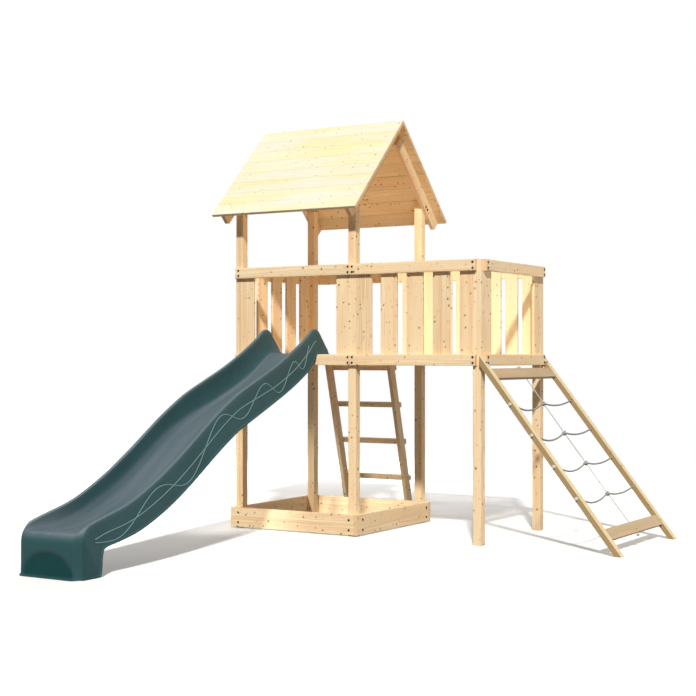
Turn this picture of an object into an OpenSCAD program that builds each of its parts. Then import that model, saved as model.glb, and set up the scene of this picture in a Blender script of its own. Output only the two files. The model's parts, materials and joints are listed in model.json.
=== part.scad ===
// Wooden climbing frame: tower, platform extension, wave slide, ladder and net ramp.
// Millimetres. Origin: centre of the foot of the tower post at the front right.
// X runs along the front towards the net ramp, Y runs from front to back, Z is up.

/* [Posts] */
// Side of a square post
post = 60; // [56:1:64]
// Distance between tower post centres, both ways
tower_pitch = 945; // [920:5:970]
// Distance from the tower post to the extension post
ext_pitch = 950; // [925:5:975]
// Gap between a tower post's top and the roof boards
post_roof_gap = 22; // [18:1:28]

/* [Rails] */
// Height of a rail
rail_h = 75; // [70:1:80]
// Thickness of a rail, also of the other framing boards
rail_t = 28; // [26:1:30]
// Underside of the bottom rails
low_rail_z = 1170; // [1150:5:1190]
// Underside of the top rails
top_rail_z = 1789; // [1770:1:1810]
// How far a rail stops short of the outer face of a left hand post
rail_set = 10; // [6:1:12]
// Distance from a rail's end to its screws
screw_set = 17; // [15:1:19]

/* [Slats] */
// Width of a slat
slat_w = 124; // [116:1:128]
// Width of a narrow slat
narrow_w = 96; // [90:1:100]
// Thickness of a slat
slat_t = 20; // [18:1:22]
// How far the slats stop short of the rails' outer edges
slat_set = 8; // [4:1:14]

/* [Platform] */
// Thickness of the floor boards
deck_t = 20; // [18:1:22]
// Number of floor boards in each bay
deck_count = 7; // [6:1:8]
// Gap between floor boards
deck_gap = 6; // [4:1:8]

/* [Roof] */
// Height of the ridge
ridge_z = 2910; // [2860:5:2960]
// Height of the eaves, at the roof's upper face
eave_z = 2241.5; // [2220:0.5:2270]
// How far the eave stands in front of the post's face
eave_out = 166; // [150:2:180]
// How far the roof stands past the rafters
roof_side = 66; // [50:2:80]
// Thickness of a roof board
roof_t = 22; // [20:1:23]
// Number of boards on each slope
roof_count = 8; // [7:1:9]
// Depth of a rafter
rafter_h = 80; // [74:1:84]
// How far the rafter stops below the ridge
rafter_gap = 130; // [110:5:150]

/* [Sandbox] */
// Height of a sandbox board
sand_h = 140; // [120:5:160]
// Ground clearance of a sandbox board
sand_z = 8; // [4:1:12]

/* [Ladder] */
// Width over the stiles
ladder_w = 580; // [560:5:590]
// Left edge of the ladder, from the tower's left post centre
ladder_x = 73; // [60:1:80]
// Lean of the ladder
ladder_lean = 15; // [12:1:18]
// Depth of a stile
stile_h = 70; // [66:1:74]
// Number of rungs
rung_count = 4; // [3:1:5]
// Height of a rung
rung_h = 38; // [34:1:42]

/* [Ramp] */
// Slope of the ramp
ramp_angle = 52; // [51:0.5:53]
// Width of a ramp beam
beam_w = 56; // [50:1:57]
// Thickness of a ramp beam
beam_t = 34; // [32:1:36]
// Width of a ramp cross board
cross_w = 80; // [74:1:86]
// Thickness of a ramp cross board
cross_t = 26; // [22:1:28]
// First cross rope, measured down the ramp
rope_first = 357; // [345:1:370]
// Distance between cross ropes
rope_pitch = 245; // [230:5:250]
// Rope diameter
rope_d = 12; // [10:1:14]
// Thickness of the rope down the middle of the ramp
centre_d = 7; // [6:0.5:8]
// Sag of the front half of a cross rope
sag_front = 42; // [30:1:50]
// Sag of the back half of a cross rope
sag_back = 22; // [15:1:30]

/* [Slide] */
// How far the end of the foot stands out from the middle of the front posts
slide_run = 2503; // [2450:1:2560]
// Height of the side walls over the seat, where they are highest
slide_rise = 167; // [155:1:180]
// Half width over the rims at the top
slide_half_top = 215; // [205:1:225]
// Half width over the rims at the foot
slide_half_foot = 226; // [216:1:236]
// Width of the rolled rim
slide_rim = 24; // [20:1:28]
// Thickness of the moulded shell
slide_wall = 5; // [4:0.5:6]

/* [Fits] */
// Clearance round a screw or rope in its hole
hole_gap = 0.3; // [0.2:0.05:0.5]
// Clearance round a housed board end
house_gap = 0.3; // [0.2:0.05:0.5]
// Clearance between a rope half and what it hangs on
hang_gap = 0.3; // [0.25:0.05:0.5]
// Clearance between a rafter and the roof boards
rafter_fit = 0.2; // [0.1:0.05:0.4]
// Clearance under the slide's seat on the floor
seat_gap = 0.3; // [0.2:0.05:0.5]

/* [Hidden] */
$fn = 48;
edge = 2.5;
half = post / 2;
screw_d = 6;
screw_len = 50;
left_x = -tower_pitch;
right_x = ext_pitch;
back_y = tower_pitch;
mid_y = back_y / 2;
front_face = -half;
back_face = back_y + half;
left_face = left_x - half;
right_face = right_x + half;
ext_post_top = top_rail_z + rail_h;
eave_y = front_face - eave_out;
roof_pitch = atan((ridge_z - eave_z) / (mid_y - eave_y));
tower_post_top = ridge_z - (mid_y + half) * tan(roof_pitch) - roof_t / cos(roof_pitch) - post_roof_gap;
deck_z = low_rail_z + rail_h - deck_t;
deck_top = low_rail_z + rail_h;
joist_h = deck_z - low_rail_z;
slat_z = low_rail_z + slat_set;
slat_h = top_rail_z + rail_h - slat_set - slat_z;
fit_gap = 2;

wood = [0.93, 0.79, 0.56];
wood_dark = [0.80, 0.64, 0.42];
green = [0.12, 0.27, 0.28];
rope_grey = [0.62, 0.63, 0.60];
dark = [0.10, 0.10, 0.11];

// Timber sections with eased edges
function eased(a, b, c) = [[c, 0], [a - c, 0], [a, c], [a, b - c], [a - c, b], [c, b], [0, b - c], [0, c]];

module bar_z(sx, sy, l) {
  linear_extrude(l) polygon(eased(sx, sy, edge));
}

module bar_x(l, sy, sz) {
  rotate([90, 0, 90]) linear_extrude(l) polygon(eased(sy, sz, edge));
}

module bar_y(l, sx, sz) {
  translate([0, l, 0]) rotate([90, 0, 0]) linear_extrude(l) polygon(eased(sx, sz, edge));
}

// Screws: every spot is [x, y, z, turn], the turn takes +Z to the head's outward side
to_front = [90, 0, 0];
to_back = [-90, 0, 0];
to_right = [0, 90, 0];
to_left = [0, -90, 0];
rail_levels = [low_rail_z + rail_h * 0.25, low_rail_z + rail_h * 0.75,
  top_rail_z + rail_h * 0.25, top_rail_z + rail_h * 0.75];
front_out = front_face - rail_t;
back_out = back_face + rail_t;
left_out = left_face - rail_t;
right_out = right_face + rail_t;
long_screw_x = left_face + rail_set + screw_set + 13;
front_screw_x = [long_screw_x, -screw_set, screw_set, right_x - screw_set];
side_screw_y = [screw_set, back_y - screw_set];
joist_screw_z = low_rail_z + rail_h / 2;
front_spots = [for (z = rail_levels) each [for (x = front_screw_x) [x, front_out, z, to_front]]];
back_spots = [for (z = rail_levels) each [for (x = front_screw_x) [x, back_out, z, to_back]]];
side_spots = [for (z = rail_levels) each [for (y = side_screw_y) each
  [[right_out, y, z, to_right], [left_out, y, z, to_left]]]];
rail_spots = concat(front_spots, back_spots, side_spots);
joist_spots = [for (x = [left_x, 0, right_x]) each
  [[x, half + rail_t, joist_screw_z, to_back], [x, back_y - half - rail_t, joist_screw_z, to_front]]];
sand_levels = [sand_z + sand_h * 0.25, sand_z + sand_h * 0.75];
sand_spots = [for (z = sand_levels) each [
  [left_x + 8, front_out, z, to_front], [-8, front_out, z, to_front],
  [half + rail_t, screw_set, z, to_right], [half + rail_t, back_y - 8, z, to_right],
  [left_x + screw_set, back_out, z, to_back], [-8, back_out, z, to_back],
  [left_out, screw_set, z, to_left], [left_out, back_y - screw_set, z, to_left]]];

// Roof line and rafter screws
slope_len = (mid_y - eave_y) / cos(roof_pitch);
function roof_point(s, n) = [eave_y + s * cos(roof_pitch) - n * sin(roof_pitch),
  eave_z + s * sin(roof_pitch) + n * cos(roof_pitch)];
rafter_spots = [for (side = [[half + rail_t, to_right], [left_out, to_left]]) each
  [for (q = [[-12, -35], [12, -15]]) each [
    [side[0], q[0], tower_post_top + q[1], side[1]],
    [side[0], back_y - q[0], tower_post_top + q[1], side[1]]]]];

// Ladder line
lean_rate = tan(ladder_lean);
stile_run = stile_h / cos(ladder_lean);
ladder_left = left_x + ladder_x;
function stile_front(z) = back_out + (low_rail_z - z) * lean_rate;
rung_pitch = low_rail_z / (rung_count + 0.1);
function rung_z(i) = low_rail_z - rung_h / 2 - 10 - i * rung_pitch;
ladder_top = low_rail_z + rail_h - 5;
stile_mid = [ladder_left + rail_t / 2, ladder_left + ladder_w - rail_t / 2];
ladder_spots = [for (x = stile_mid) [x, back_face, low_rail_z + rail_h / 3, to_front]];
rung_spots = [for (i = [0:rung_count - 1]) each [for (x = stile_mid)
  [x, stile_front(rung_z(i)) + stile_run + rail_t * cos(ladder_lean),
    rung_z(i) + rail_t * sin(ladder_lean), [ladder_lean - 90, 0, 0]]]];

// Ramp line: distance s down the slope from the rail's outer face, n square to it
ramp_top_z = low_rail_z + 35;
function ramp_point(s, n) = [right_face + s * cos(ramp_angle) + n * sin(ramp_angle),
  ramp_top_z - s * sin(ramp_angle) + n * cos(ramp_angle)];
beam_front_y = front_out;
beam_back_y = back_out - beam_w;
ramp_len = ramp_top_z / sin(ramp_angle);
rope_s = [for (i = [0:3]) rope_first + i * rope_pitch];
cross_s = [75, ramp_len - 115 - cross_w];
house_in = 12;
beam_seat = 30;
beam_screw_z = ramp_top_z - 15;
ramp_spots = [for (y = [front_face + 14, back_face - 14]) [right_face + beam_seat, y, beam_screw_z, to_right]];

frame_spots = concat(joist_spots, sand_spots, rafter_spots, ladder_spots, rung_spots, ramp_spots);

module screw_holes(spots) {
  for (p = spots)
    translate([p[0], p[1], p[2]]) rotate(p[3])
      translate([0, 0, -screw_len - hole_gap])
        cylinder(h = screw_len + hole_gap + 1, d = screw_d + 2 * hole_gap);
}

head_r = 8;
head_h = 7;
// Room for the heads that a slat covers
module head_pockets(spots) {
  for (p = spots)
    translate([p[0], p[1], p[2]]) rotate(p[3]) translate([0, 0, -1])
      cylinder(h = head_h + 2, r = head_r + 4 * hole_gap);
}
module coach_screws(spots) {
  color(dark) for (p = spots)
    translate([p[0], p[1], p[2]]) rotate(p[3])
      rotate_extrude() polygon([
        [0, -screw_len], [1, -screw_len], [screw_d / 2, -screw_len + 6], [screw_d / 2, 0],
        [head_r, 0], [head_r, 2], [head_r * 0.9, 4], [head_r * 0.67, 5.7], [head_r * 0.35, 6.7], [0, head_h]]);
}
module screws_front() { coach_screws(front_spots); }
module screws_back() { coach_screws(back_spots); }
module screws_sides() { coach_screws(side_spots); }
module screws_frame() { coach_screws(frame_spots); }

// Posts
function near(spots, x, y, reach) = [for (p = spots) if (abs(p[0] - x) < reach && abs(p[1] - y) < reach) p];
module post_at(x, y, h) {
  color(wood) difference() {
    translate([x - half, y - half, 0]) bar_z(post, post, h);
    screw_holes(near(concat(rail_spots, joist_spots, sand_spots, rafter_spots, ramp_spots),
      x, y, post + rail_t));
  }
}
module post_front_left() { post_at(left_x, 0, tower_post_top); }
module post_front_right() { post_at(0, 0, tower_post_top); }
module post_back_left() { post_at(left_x, back_y, tower_post_top); }
module post_back_right() { post_at(0, back_y, tower_post_top); }
module post_ext_front() { post_at(right_x, 0, ext_post_top); }
module post_ext_back() { post_at(right_x, back_y, ext_post_top); }

// Rails
joint_gap = 1;
module rail_along_x(x0, x1, y, z, outer) {
  color(wood) difference() {
    translate([x0, y, z]) bar_x(x1 - x0, rail_t, rail_h);
    screw_holes([for (p = concat(rail_spots, ladder_spots)) if (p[0] > x0 && p[0] < x1
      && (abs(p[1] - outer) < 1 || (outer == back_out && abs(p[1] - back_face) < 1 && p[2] < z + rail_h))
      && p[2] > z && p[2] < z + rail_h) p]);
  }
}
module rail_along_y(x, z, outer) {
  color(wood_dark) difference() {
    translate([x, 0, z]) bar_y(back_y, rail_t, rail_h);
    screw_holes([for (p = side_spots) if (abs(p[0] - outer) < 1 && p[2] > z && p[2] < z + rail_h) p]);
  }
}
module low_rail_front_tower() {
  rail_along_x(left_face + rail_set, -joint_gap / 2, front_out, low_rail_z, front_out);
}
module low_rail_front_ext() { rail_along_x(joint_gap / 2, right_x, front_out, low_rail_z, front_out); }
module low_rail_back_tower() {
  rail_along_x(left_face + rail_set, -joint_gap / 2, back_face, low_rail_z, back_out);
}
module low_rail_back_ext() { rail_along_x(joint_gap / 2, right_x, back_face, low_rail_z, back_out); }
module low_rail_right() { rail_along_y(right_face, low_rail_z, right_out); }
module low_rail_left() { rail_along_y(left_out, low_rail_z, left_out); }
module top_rail_front_tower() {
  rail_along_x(left_face + rail_set, -joint_gap / 2, front_out, top_rail_z, front_out);
}
module top_rail_front_ext() { rail_along_x(joint_gap / 2, right_x, front_out, top_rail_z, front_out); }
module top_rail_back_tower() {
  rail_along_x(left_face + rail_set, -joint_gap / 2, back_face, top_rail_z, back_out);
}
module top_rail_back_ext() { rail_along_x(joint_gap / 2, right_x, back_face, top_rail_z, back_out); }
module top_rail_right() { rail_along_y(right_face, top_rail_z, right_out); }
module top_rail_left() { rail_along_y(left_out, top_rail_z, left_out); }

// Platform
joist_x0 = left_face + slat_t;
joist_x1 = right_face - slat_t;
module joists() {
  color(wood_dark) for (y = [half, back_y - half - rail_t]) difference() {
    translate([joist_x0, y, low_rail_z]) bar_x(joist_x1 - joist_x0, rail_t, joist_h);
    screw_holes([for (p = joist_spots) if (p[1] > y - 1 && p[1] < y + rail_t + 1) p]);
  }
  color(wood_dark) translate([joist_x0, mid_y - rail_t / 2, low_rail_z])
    bar_x(right_face - joist_x0, rail_t, joist_h);
}
module deck_bay(x0, x1) {
  board = (x1 - x0 - (deck_count + 1) * deck_gap) / deck_count;
  color(wood) for (i = [0:deck_count - 1])
    translate([x0 + deck_gap + i * (board + deck_gap), front_face + slat_t, deck_z])
      bar_y(back_face - front_face - 2 * slat_t, board, deck_t);
}
module deck_tower() { deck_bay(left_x + half, -half); }
module deck_ext() { deck_bay(half, right_x - half); }
module deck_strips() {
  color(wood) for (span = [[joist_x0, left_x + half], [-half, half], [right_x - half, joist_x1]])
    translate([span[0] + fit_gap, half + fit_gap, deck_z])
      bar_y(back_y - post - 2 * fit_gap, span[1] - span[0] - 2 * fit_gap, deck_t);
}

// Slats
module slat_x(x, w, y) { translate([x, y, slat_z]) bar_z(w, slat_t, slat_h); }
module slat_y(y, w, x) { translate([x, y, slat_z]) bar_z(slat_t, w, slat_h); }
back_slat_y = back_face - slat_t;
module slats_front_tower() {
  color(wood) for (x = [left_x + half, -half - narrow_w]) slat_x(x, narrow_w, front_face);
}
ext_clear = ext_pitch - post;
ext_slat_gap = (ext_clear - 4 * slat_w - narrow_w) / 4;
module slats_front_ext() {
  color(wood) for (i = [0:4]) slat_x(half + i * (slat_w + ext_slat_gap), i < 4 ? slat_w : narrow_w, front_face);
}
side_gap = (tower_pitch - post - 5 * slat_w) / 4;
module slats_left() {
  color(wood_dark) for (i = [0:4]) slat_y(half + i * (slat_w + side_gap), slat_w, left_face);
}
module slats_back_tower() {
  color(wood) difference() {
    for (i = [0:1]) slat_x(-half - slat_w - i * (slat_w + side_gap), slat_w, back_slat_y);
    head_pockets(ladder_spots);
  }
}
back_gap = (ext_clear - 7 * narrow_w) / 6;
module slats_back_ext() {
  color(wood) for (i = [0:6]) slat_x(half + i * (narrow_w + back_gap), narrow_w, back_slat_y);
}
module slats_right() {
  color(wood_dark) for (y = [half, back_y - half - narrow_w]) slat_y(y, narrow_w, right_face - slat_t);
}

// Roof
module along_roof(points, x0, x1, back) {
  spots = [for (q = points) let (r = roof_point(q[0], q[1])) [back ? 2 * mid_y - r[0] : r[0], r[1]]];
  translate([x0, 0, 0]) rotate([90, 0, 90]) linear_extrude(x1 - x0) polygon(spots);
}
roof_x0 = left_out - roof_side;
roof_x1 = half + rail_t + roof_side;
cover = slope_len / roof_count;
vee = 3;
board_gap = 0.6;
module roof_slope(back) {
  color(wood) for (i = [0:roof_count - 1]) {
    s0 = i * cover;
    s1 = s0 + cover - (i == roof_count - 1 ? 0 : board_gap);
    last = i == roof_count - 1;
    upper = last ? [[s1, 0], [s1 - roof_t * tan(roof_pitch), -roof_t]]
      : [[s1 - 1, 0], [s1, -1], [s1, -roof_t + vee], [s1 - vee, -roof_t]];
    lower = [[s0 + vee, -roof_t], [s0, -roof_t + vee]];
    along_roof(concat([[s0, -1], [s0 + 1, 0]], upper, lower), roof_x0, roof_x1, back);
  }
}
module roof_front() { roof_slope(false); }
module roof_back() { roof_slope(true); }
tail_s = 8;
tail_drop = rafter_h - 10;
module rafter_at(x, back) {
  top_s = slope_len - rafter_gap;
  color(wood_dark) difference() {
    along_roof([[tail_s, -roof_t - rafter_fit], [top_s, -roof_t - rafter_fit], [top_s, -roof_t - rafter_h],
      [tail_s + (rafter_h - tail_drop) / tan(roof_pitch), -roof_t - rafter_h], [tail_s, -roof_t - tail_drop]],
      x, x + rail_t, back);
    screw_holes([for (p = rafter_spots)
      if (p[0] > x - 1 && p[0] < x + rail_t + 1 && (p[1] > mid_y) == back) p]);
  }
}
module rafter_front_left() { rafter_at(left_out, false); }
module rafter_front_right() { rafter_at(half, false); }
module rafter_back_left() { rafter_at(left_out, true); }
module rafter_back_right() { rafter_at(half, true); }

// Sandbox
sand_len = tower_pitch + post + rail_t;
module sandbox_front() {
  color(wood) difference() {
    translate([left_out, front_out, sand_z]) bar_x(sand_len, rail_t, sand_h);
    screw_holes([for (p = sand_spots) if (abs(p[1] - front_out) < 1) p]);
  }
}
module sandbox_right() {
  color(wood_dark) difference() {
    translate([half, front_out, sand_z]) bar_y(sand_len, rail_t, sand_h);
    screw_holes([for (p = sand_spots) if (abs(p[0] - half - rail_t) < 1) p]);
  }
}
module sandbox_back() {
  color(wood) difference() {
    translate([left_face, back_face, sand_z]) bar_x(sand_len, rail_t, sand_h);
    screw_holes([for (p = sand_spots) if (abs(p[1] - back_out) < 1) p]);
  }
}
module sandbox_left() {
  color(wood) difference() {
    translate([left_out, front_face, sand_z]) bar_y(sand_len, rail_t, sand_h);
    screw_holes([for (p = sand_spots) if (abs(p[0] - left_out) < 1) p]);
  }
}

// Ladder
module stile_at(x) {
  color(wood_dark) difference() {
    translate([x, 0, 0]) rotate([90, 0, 90]) linear_extrude(rail_t) polygon([
      [back_out, low_rail_z], [back_out, ladder_top], [stile_front(ladder_top) + stile_run, ladder_top],
      [stile_front(0) + stile_run, 0], [stile_front(0), 0]]);
    screw_holes([for (p = concat(ladder_spots, rung_spots)) if (p[0] > x && p[0] < x + rail_t) p]);
  }
}
module ladder_stile_left() { stile_at(ladder_left); }
module ladder_stile_right() { stile_at(ladder_left + ladder_w - rail_t); }
module ladder_rungs() {
  color(wood_dark) for (i = [0:rung_count - 1]) difference() {
    translate([ladder_left, stile_front(rung_z(i)) + stile_run, rung_z(i)]) rotate([ladder_lean, 0, 0])
      translate([0, 0, -rung_h / 2]) bar_x(ladder_w, rail_t, rung_h);
    screw_holes([for (p = rung_spots) if (abs(p[2] - rung_z(i)) < rung_h) p]);
  }
}

// Ramp
module ramp_beam(y) {
  cut = beam_t / 2 / cos(ramp_angle);
  foot = beam_t / 2 / sin(ramp_angle);
  foot_x = right_face + ramp_top_z / tan(ramp_angle);
  color(wood) difference() {
    translate([0, y + beam_w, 0]) rotate([90, 0, 0]) linear_extrude(beam_w) polygon([
      [right_face, ramp_top_z - cut], [right_face, ramp_top_z + cut], [foot_x + foot, 0], [foot_x - foot, 0]]);
    for (s = rope_s) {
      q = ramp_point(s, 0);
      translate([q[0], y - 1, q[1]]) rotate([-90, 0, 0]) cylinder(h = beam_w + 2, d = rope_d + 2 * hole_gap);
    }
    for (s = cross_s) cross_board(s, house_gap);
    for (p = ramp_spots) if (p[1] > y && p[1] < y + beam_w) {
      screw_holes([p]);
      translate([p[0], p[1], p[2]]) rotate(p[3]) cylinder(h = 40, r = head_r + 4 * hole_gap);
    }
  }
}
module cross_board(s, gap) {
  y0 = beam_front_y + beam_w - house_in - gap;
  y1 = beam_back_y + house_in + gap;
  q = ramp_point(s, 0);
  translate([q[0], y0, q[1]]) rotate([0, ramp_angle, 0])
    translate([-gap, 0, -cross_t / 2 - gap]) bar_y(y1 - y0, cross_w + 2 * gap, cross_t + 2 * gap);
}
module ramp_beam_front() { ramp_beam(beam_front_y); }
module ramp_beam_back() { ramp_beam(beam_back_y); }
module ramp_boards() {
  color(wood) for (s = cross_s) difference() {
    cross_board(s, 0);
    q = ramp_point(s, 0);
    translate([q[0], mid_y, q[1]]) rotate([0, ramp_angle, 0]) translate([-1, 0, 0]) rotate([0, 90, 0])
      cylinder(h = cross_w + 2, d = centre_d + 2 * hole_gap);
  }
}

// Ropes: a tube swept along hand chosen points, with a radius for each point
function unit(v) = v / norm(v);
function tangent(p, i) = unit(p[min(i + 1, len(p) - 1)] - p[max(i - 1, 0)]);
module tube(p, r, sides = 10) {
  rings = [for (i = [0:len(p) - 1]) let (t = tangent(p, i), a = unit(cross(t, [0.3, 0.2, 1])), b = cross(t, a))
    each [for (k = [0:sides - 1]) p[i] + r[i] * (a * cos(360 * k / sides) + b * sin(360 * k / sides))]];
  walls = [for (i = [0:len(p) - 2]) each [for (k = [0:sides - 1]) each let (m = (k + 1) % sides)
    [[i * sides + k, (i + 1) * sides + k, (i + 1) * sides + m],
      [i * sides + k, (i + 1) * sides + m, i * sides + m]]]];
  start = [for (k = [0:sides - 1]) k];
  end = [for (k = [0:sides - 1]) (len(p) - 1) * sides + sides - 1 - k];
  polyhedron(rings, concat(walls, [start, end]));
}
rope_r = rope_d / 2;
knot_r = 15;
knot_drop = 10;
// Radius of the centre rope through a knot, by the distance from the knot's middle
centre_r = centre_d / 2;
knot_swell = [[-60, centre_r], [-19, centre_r], [-13, 10], [-7, 14], [0, knot_r], [7, 14], [13, 10],
  [19, centre_r], [60, centre_r]];
function knot(i) = let (q = ramp_point(rope_s[i], 0)) [q[0], mid_y, q[1] - knot_drop];
module rope_centre() {
  top = ramp_point(cross_s[0] - 4, 0);
  rise = ramp_point(cross_s[0] + cross_w, 0);
  dip = ramp_point(cross_s[1], 0);
  low = ramp_point(cross_s[1] + cross_w + 4, 0);
  down = [cos(ramp_angle), 0, -sin(ramp_angle)];
  line = concat(
    [[top[0], mid_y, top[1], knot_r * 0.4] + 26 * [-down[0], 0, -down[2], 0],
      [top[0], mid_y, top[1], knot_r * 0.9] + 20 * [-down[0], 0, -down[2], 0],
      [top[0], mid_y, top[1], knot_r] + 13 * [-down[0], 0, -down[2], 0],
      [top[0], mid_y, top[1], knot_r * 0.9] + 4 * [-down[0], 0, -down[2], 0],
      [top[0], mid_y, top[1], centre_r], [rise[0], mid_y, rise[1], centre_r]],
    [for (i = [0:3]) each [for (q = knot_swell) let (c = knot(i) + q[0] * down) [c[0], c[1], c[2], q[1]]]],
    [[dip[0], mid_y, dip[1], centre_r], [low[0], mid_y, low[1], centre_r],
      [low[0], mid_y, low[1], knot_r * 0.9] + 4 * [down[0], 0, down[2], 0],
      [low[0], mid_y, low[1], knot_r] + 13 * [down[0], 0, down[2], 0],
      [low[0], mid_y, low[1], knot_r * 0.9] + 20 * [down[0], 0, down[2], 0],
      [low[0], mid_y, low[1], knot_r * 0.4] + 26 * [down[0], 0, down[2], 0]]);
  color(rope_grey) tube([for (q = line) [q[0], q[1], q[2]]], [for (q = line) q[3]], 12);
}
module rope_ends() {
  color(rope_grey) for (i = [0:3]) for (side = [[beam_front_y, -1], [beam_back_y + beam_w, 1]]) {
    q = ramp_point(rope_s[i], 0);
    translate([q[0], side[0], q[1]]) rotate([side[1] * -90, 0, 0]) rotate_extrude() polygon([
      [0, -beam_w], [rope_r, -beam_w], [rope_r, 0], [knot_r * 0.75, 0], [knot_r, 5], [knot_r, 13],
      [knot_r * 0.8, 20], [knot_r * 0.4, 23], [0, 24]]);
  }
}
rope_steps = 14;
module rope_half(i, back) {
  q = ramp_point(rope_s[i], 0);
  side = back ? 1 : -1;
  y0 = back ? beam_back_y - hang_gap : beam_front_y + beam_w + hang_gap;
  start = [q[0], y0, q[1]];
  end = knot(i) + [0, side * (knot_r + hang_gap), 0];
  sag = back ? sag_back : sag_front;
  dir = unit(end - start);
  span = norm(end - start);
  line = concat([[0, 0.1], [0.004, 0.55], [0.009, 0.85], [0.017, 1]],
    [for (k = [1:rope_steps - 1]) [k / rope_steps, 1]], [[0.983, 1], [0.991, 0.85], [0.996, 0.55], [1, 0.1]]);
  p = [for (u = line) start + dir * span * u[0] + [0, 0, -4 * sag * u[0] * (1 - u[0])]];
  color(rope_grey) tube(p, [for (u = line) rope_r * u[1]], 10);
}
module rope_1_front() { rope_half(0, false); }
module rope_2_front() { rope_half(1, false); }
module rope_3_front() { rope_half(2, false); }
module rope_4_front() { rope_half(3, false); }
module rope_1_back() { rope_half(0, true); }
module rope_2_back() { rope_half(1, true); }
module rope_3_back() { rope_half(2, true); }
module rope_4_back() { rope_half(3, true); }

// Slide: side view curves as [distance out from the post line, height], smooth through hand chosen points.
// They are drawn for one rail face, end of the foot, seat height and wall height, and follow the real ones.
drawn_for = [58, 2503, 1245.3, 167];
seat_off = 17.5;
slide_x = -tower_pitch / 2 - seat_off;
seat = deck_top + seat_gap;
over_rail = -front_out / drawn_for[0];
reach = (slide_run + front_out) / (drawn_for[1] - drawn_for[0]);
fall = seat / drawn_for[2];
function out(d) = d < drawn_for[0] ? d * over_rail : (d - drawn_for[0]) * reach - front_out;
function drawn(points) = [for (q = points) [q[0], q[1] * fall]];
bed_top = seat + slide_wall;
hem_top = seat + slide_wall + 1;
bed_pts = concat([[-100, bed_top], [-20, bed_top], [64, bed_top]],
  drawn([[105, 1237], [160, 1202], [265, 1130], [400, 1058], [558, 988], [760, 905], [971, 819], [1100, 752],
    [1230, 675], [1380, 578], [1521, 489], [1650, 415], [1769, 356], [1950, 286], [2088, 252], [2250, 238]]));
rim_rise = [[-100, 26], [-60, 68], [-20, 112], [10, 146], [30, 160], [55, 167], [80, 165], [105, 155]];
rim_pts = concat([for (q = rim_rise) [q[0], seat + q[1] * slide_rise / drawn_for[3]]],
  drawn([[150, 1366], [265, 1297], [400, 1226], [558, 1152], [760, 1070], [971, 984], [1100, 917], [1230, 842],
    [1380, 745], [1521, 653], [1650, 575], [1769, 508], [1950, 420], [2088, 368], [2250, 326]]));
hem_pts = concat([[-100, hem_top], [-20, hem_top], [62, hem_top]],
  drawn([[78, 1236], [100, 1204], [150, 1148], [265, 1078], [400, 1010], [558, 940], [760, 856], [971, 768],
    [1100, 700], [1230, 622], [1380, 525], [1521, 438], [1650, 366], [1769, 308], [1950, 236],
    [2088, 200], [2250, 172]]));
// The foot: bed, rim and hem points side by side, over the lip and down the front, whose corners turn back
foot = [for (q = [
  [2330, 238, 2325, 307, 2280, 158], [2390, 243, 2383, 290, 2293, 130], [2430, 247, 2423, 275, 2299, 95],
  [2455, 243, 2447, 262, 2303, 55], [2472, 231, 2463, 246, 2306, 24], [2482, 214, 2472, 226, 2314, 8],
  [2487, 190, 2477, 198, 2340, 6], [2488, 150, 2478, 156, 2362, 6], [2488, 110, 2478, 114, 2384, 6],
  [2488, 70, 2478, 72, 2405, 6], [2489, 34, 2479, 35, 2424, 6], [2492, 12, 2482, 12, 2440, 6],
  [2503, 6, 2492, 6, 2452, 6]])
  [q[0], q[1] * fall, q[2], q[3] * fall, q[4], q[5] * fall]];
// Arched recess in the front of the foot: how deep it is at a place across and up the front
arch_half = 190;
arch_h = 138;
arch_depth = 12;
arch_foot = 10;
front_d = 2484;
function recess(x, s, z) = s[0] < front_d || z < arch_foot ? 0
  : arch_depth * max(0, min(1, 3 * (1 - pow(x / arch_half, 2) - pow(z / arch_h, 2))));
function seg(p, x, i = 0) = i >= len(p) - 2 || x <= p[i + 1][0] ? i : seg(p, x, i + 1);
function rate(p, i) = let (a = p[max(i - 1, 0)], b = p[min(i + 1, len(p) - 1)]) (b[1] - a[1]) / (b[0] - a[0]);
function smooth(p, x) = let (i = seg(p, x), h = p[i + 1][0] - p[i][0], u = (x - p[i][0]) / h)
  p[i][1] * (1 + 2 * u) * (1 - u) * (1 - u) + rate(p, i) * h * u * (1 - u) * (1 - u)
  + p[i + 1][1] * u * u * (3 - 2 * u) + rate(p, i + 1) * h * u * u * (u - 1);
run = concat([-100, -80, -60, -40, -20, 0, 20, 40, 55, 64, 75, 90, 110, 140, 180, 230, 290, 360, 440, 520, 600],
  [for (d = [690:90:2130]) d], [2200, 2250]);
stations = concat([for (d = run) [d, smooth(bed_pts, d), d, smooth(rim_pts, d), d, smooth(hem_pts, d)]], foot);
function half_at(d) = slide_half_top + (slide_half_foot - slide_half_top) * min(1, (d - run[0]) / 2600);
function mix(s, v) = [s[0] + (s[2] - s[0]) * v, s[1] + (s[3] - s[1]) * v];
corner_turn = 30;
corner_from = 2400;
corner_to = 2472;
lip_d = 2440;
lip_roll = 1;
function turn(s) = corner_turn * max(0, min(1, (s[0] - corner_from) / (corner_to - corner_from)));
function skirt(s, v) = [out(s[2]) - turn(s) + (out(s[4]) - out(s[2]) + turn(s)) * v, s[3] + (s[5] - s[3]) * v];
bowl = 48;
roll = 9;
skirt_flare = 6;
hem_flare = 13;
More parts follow.
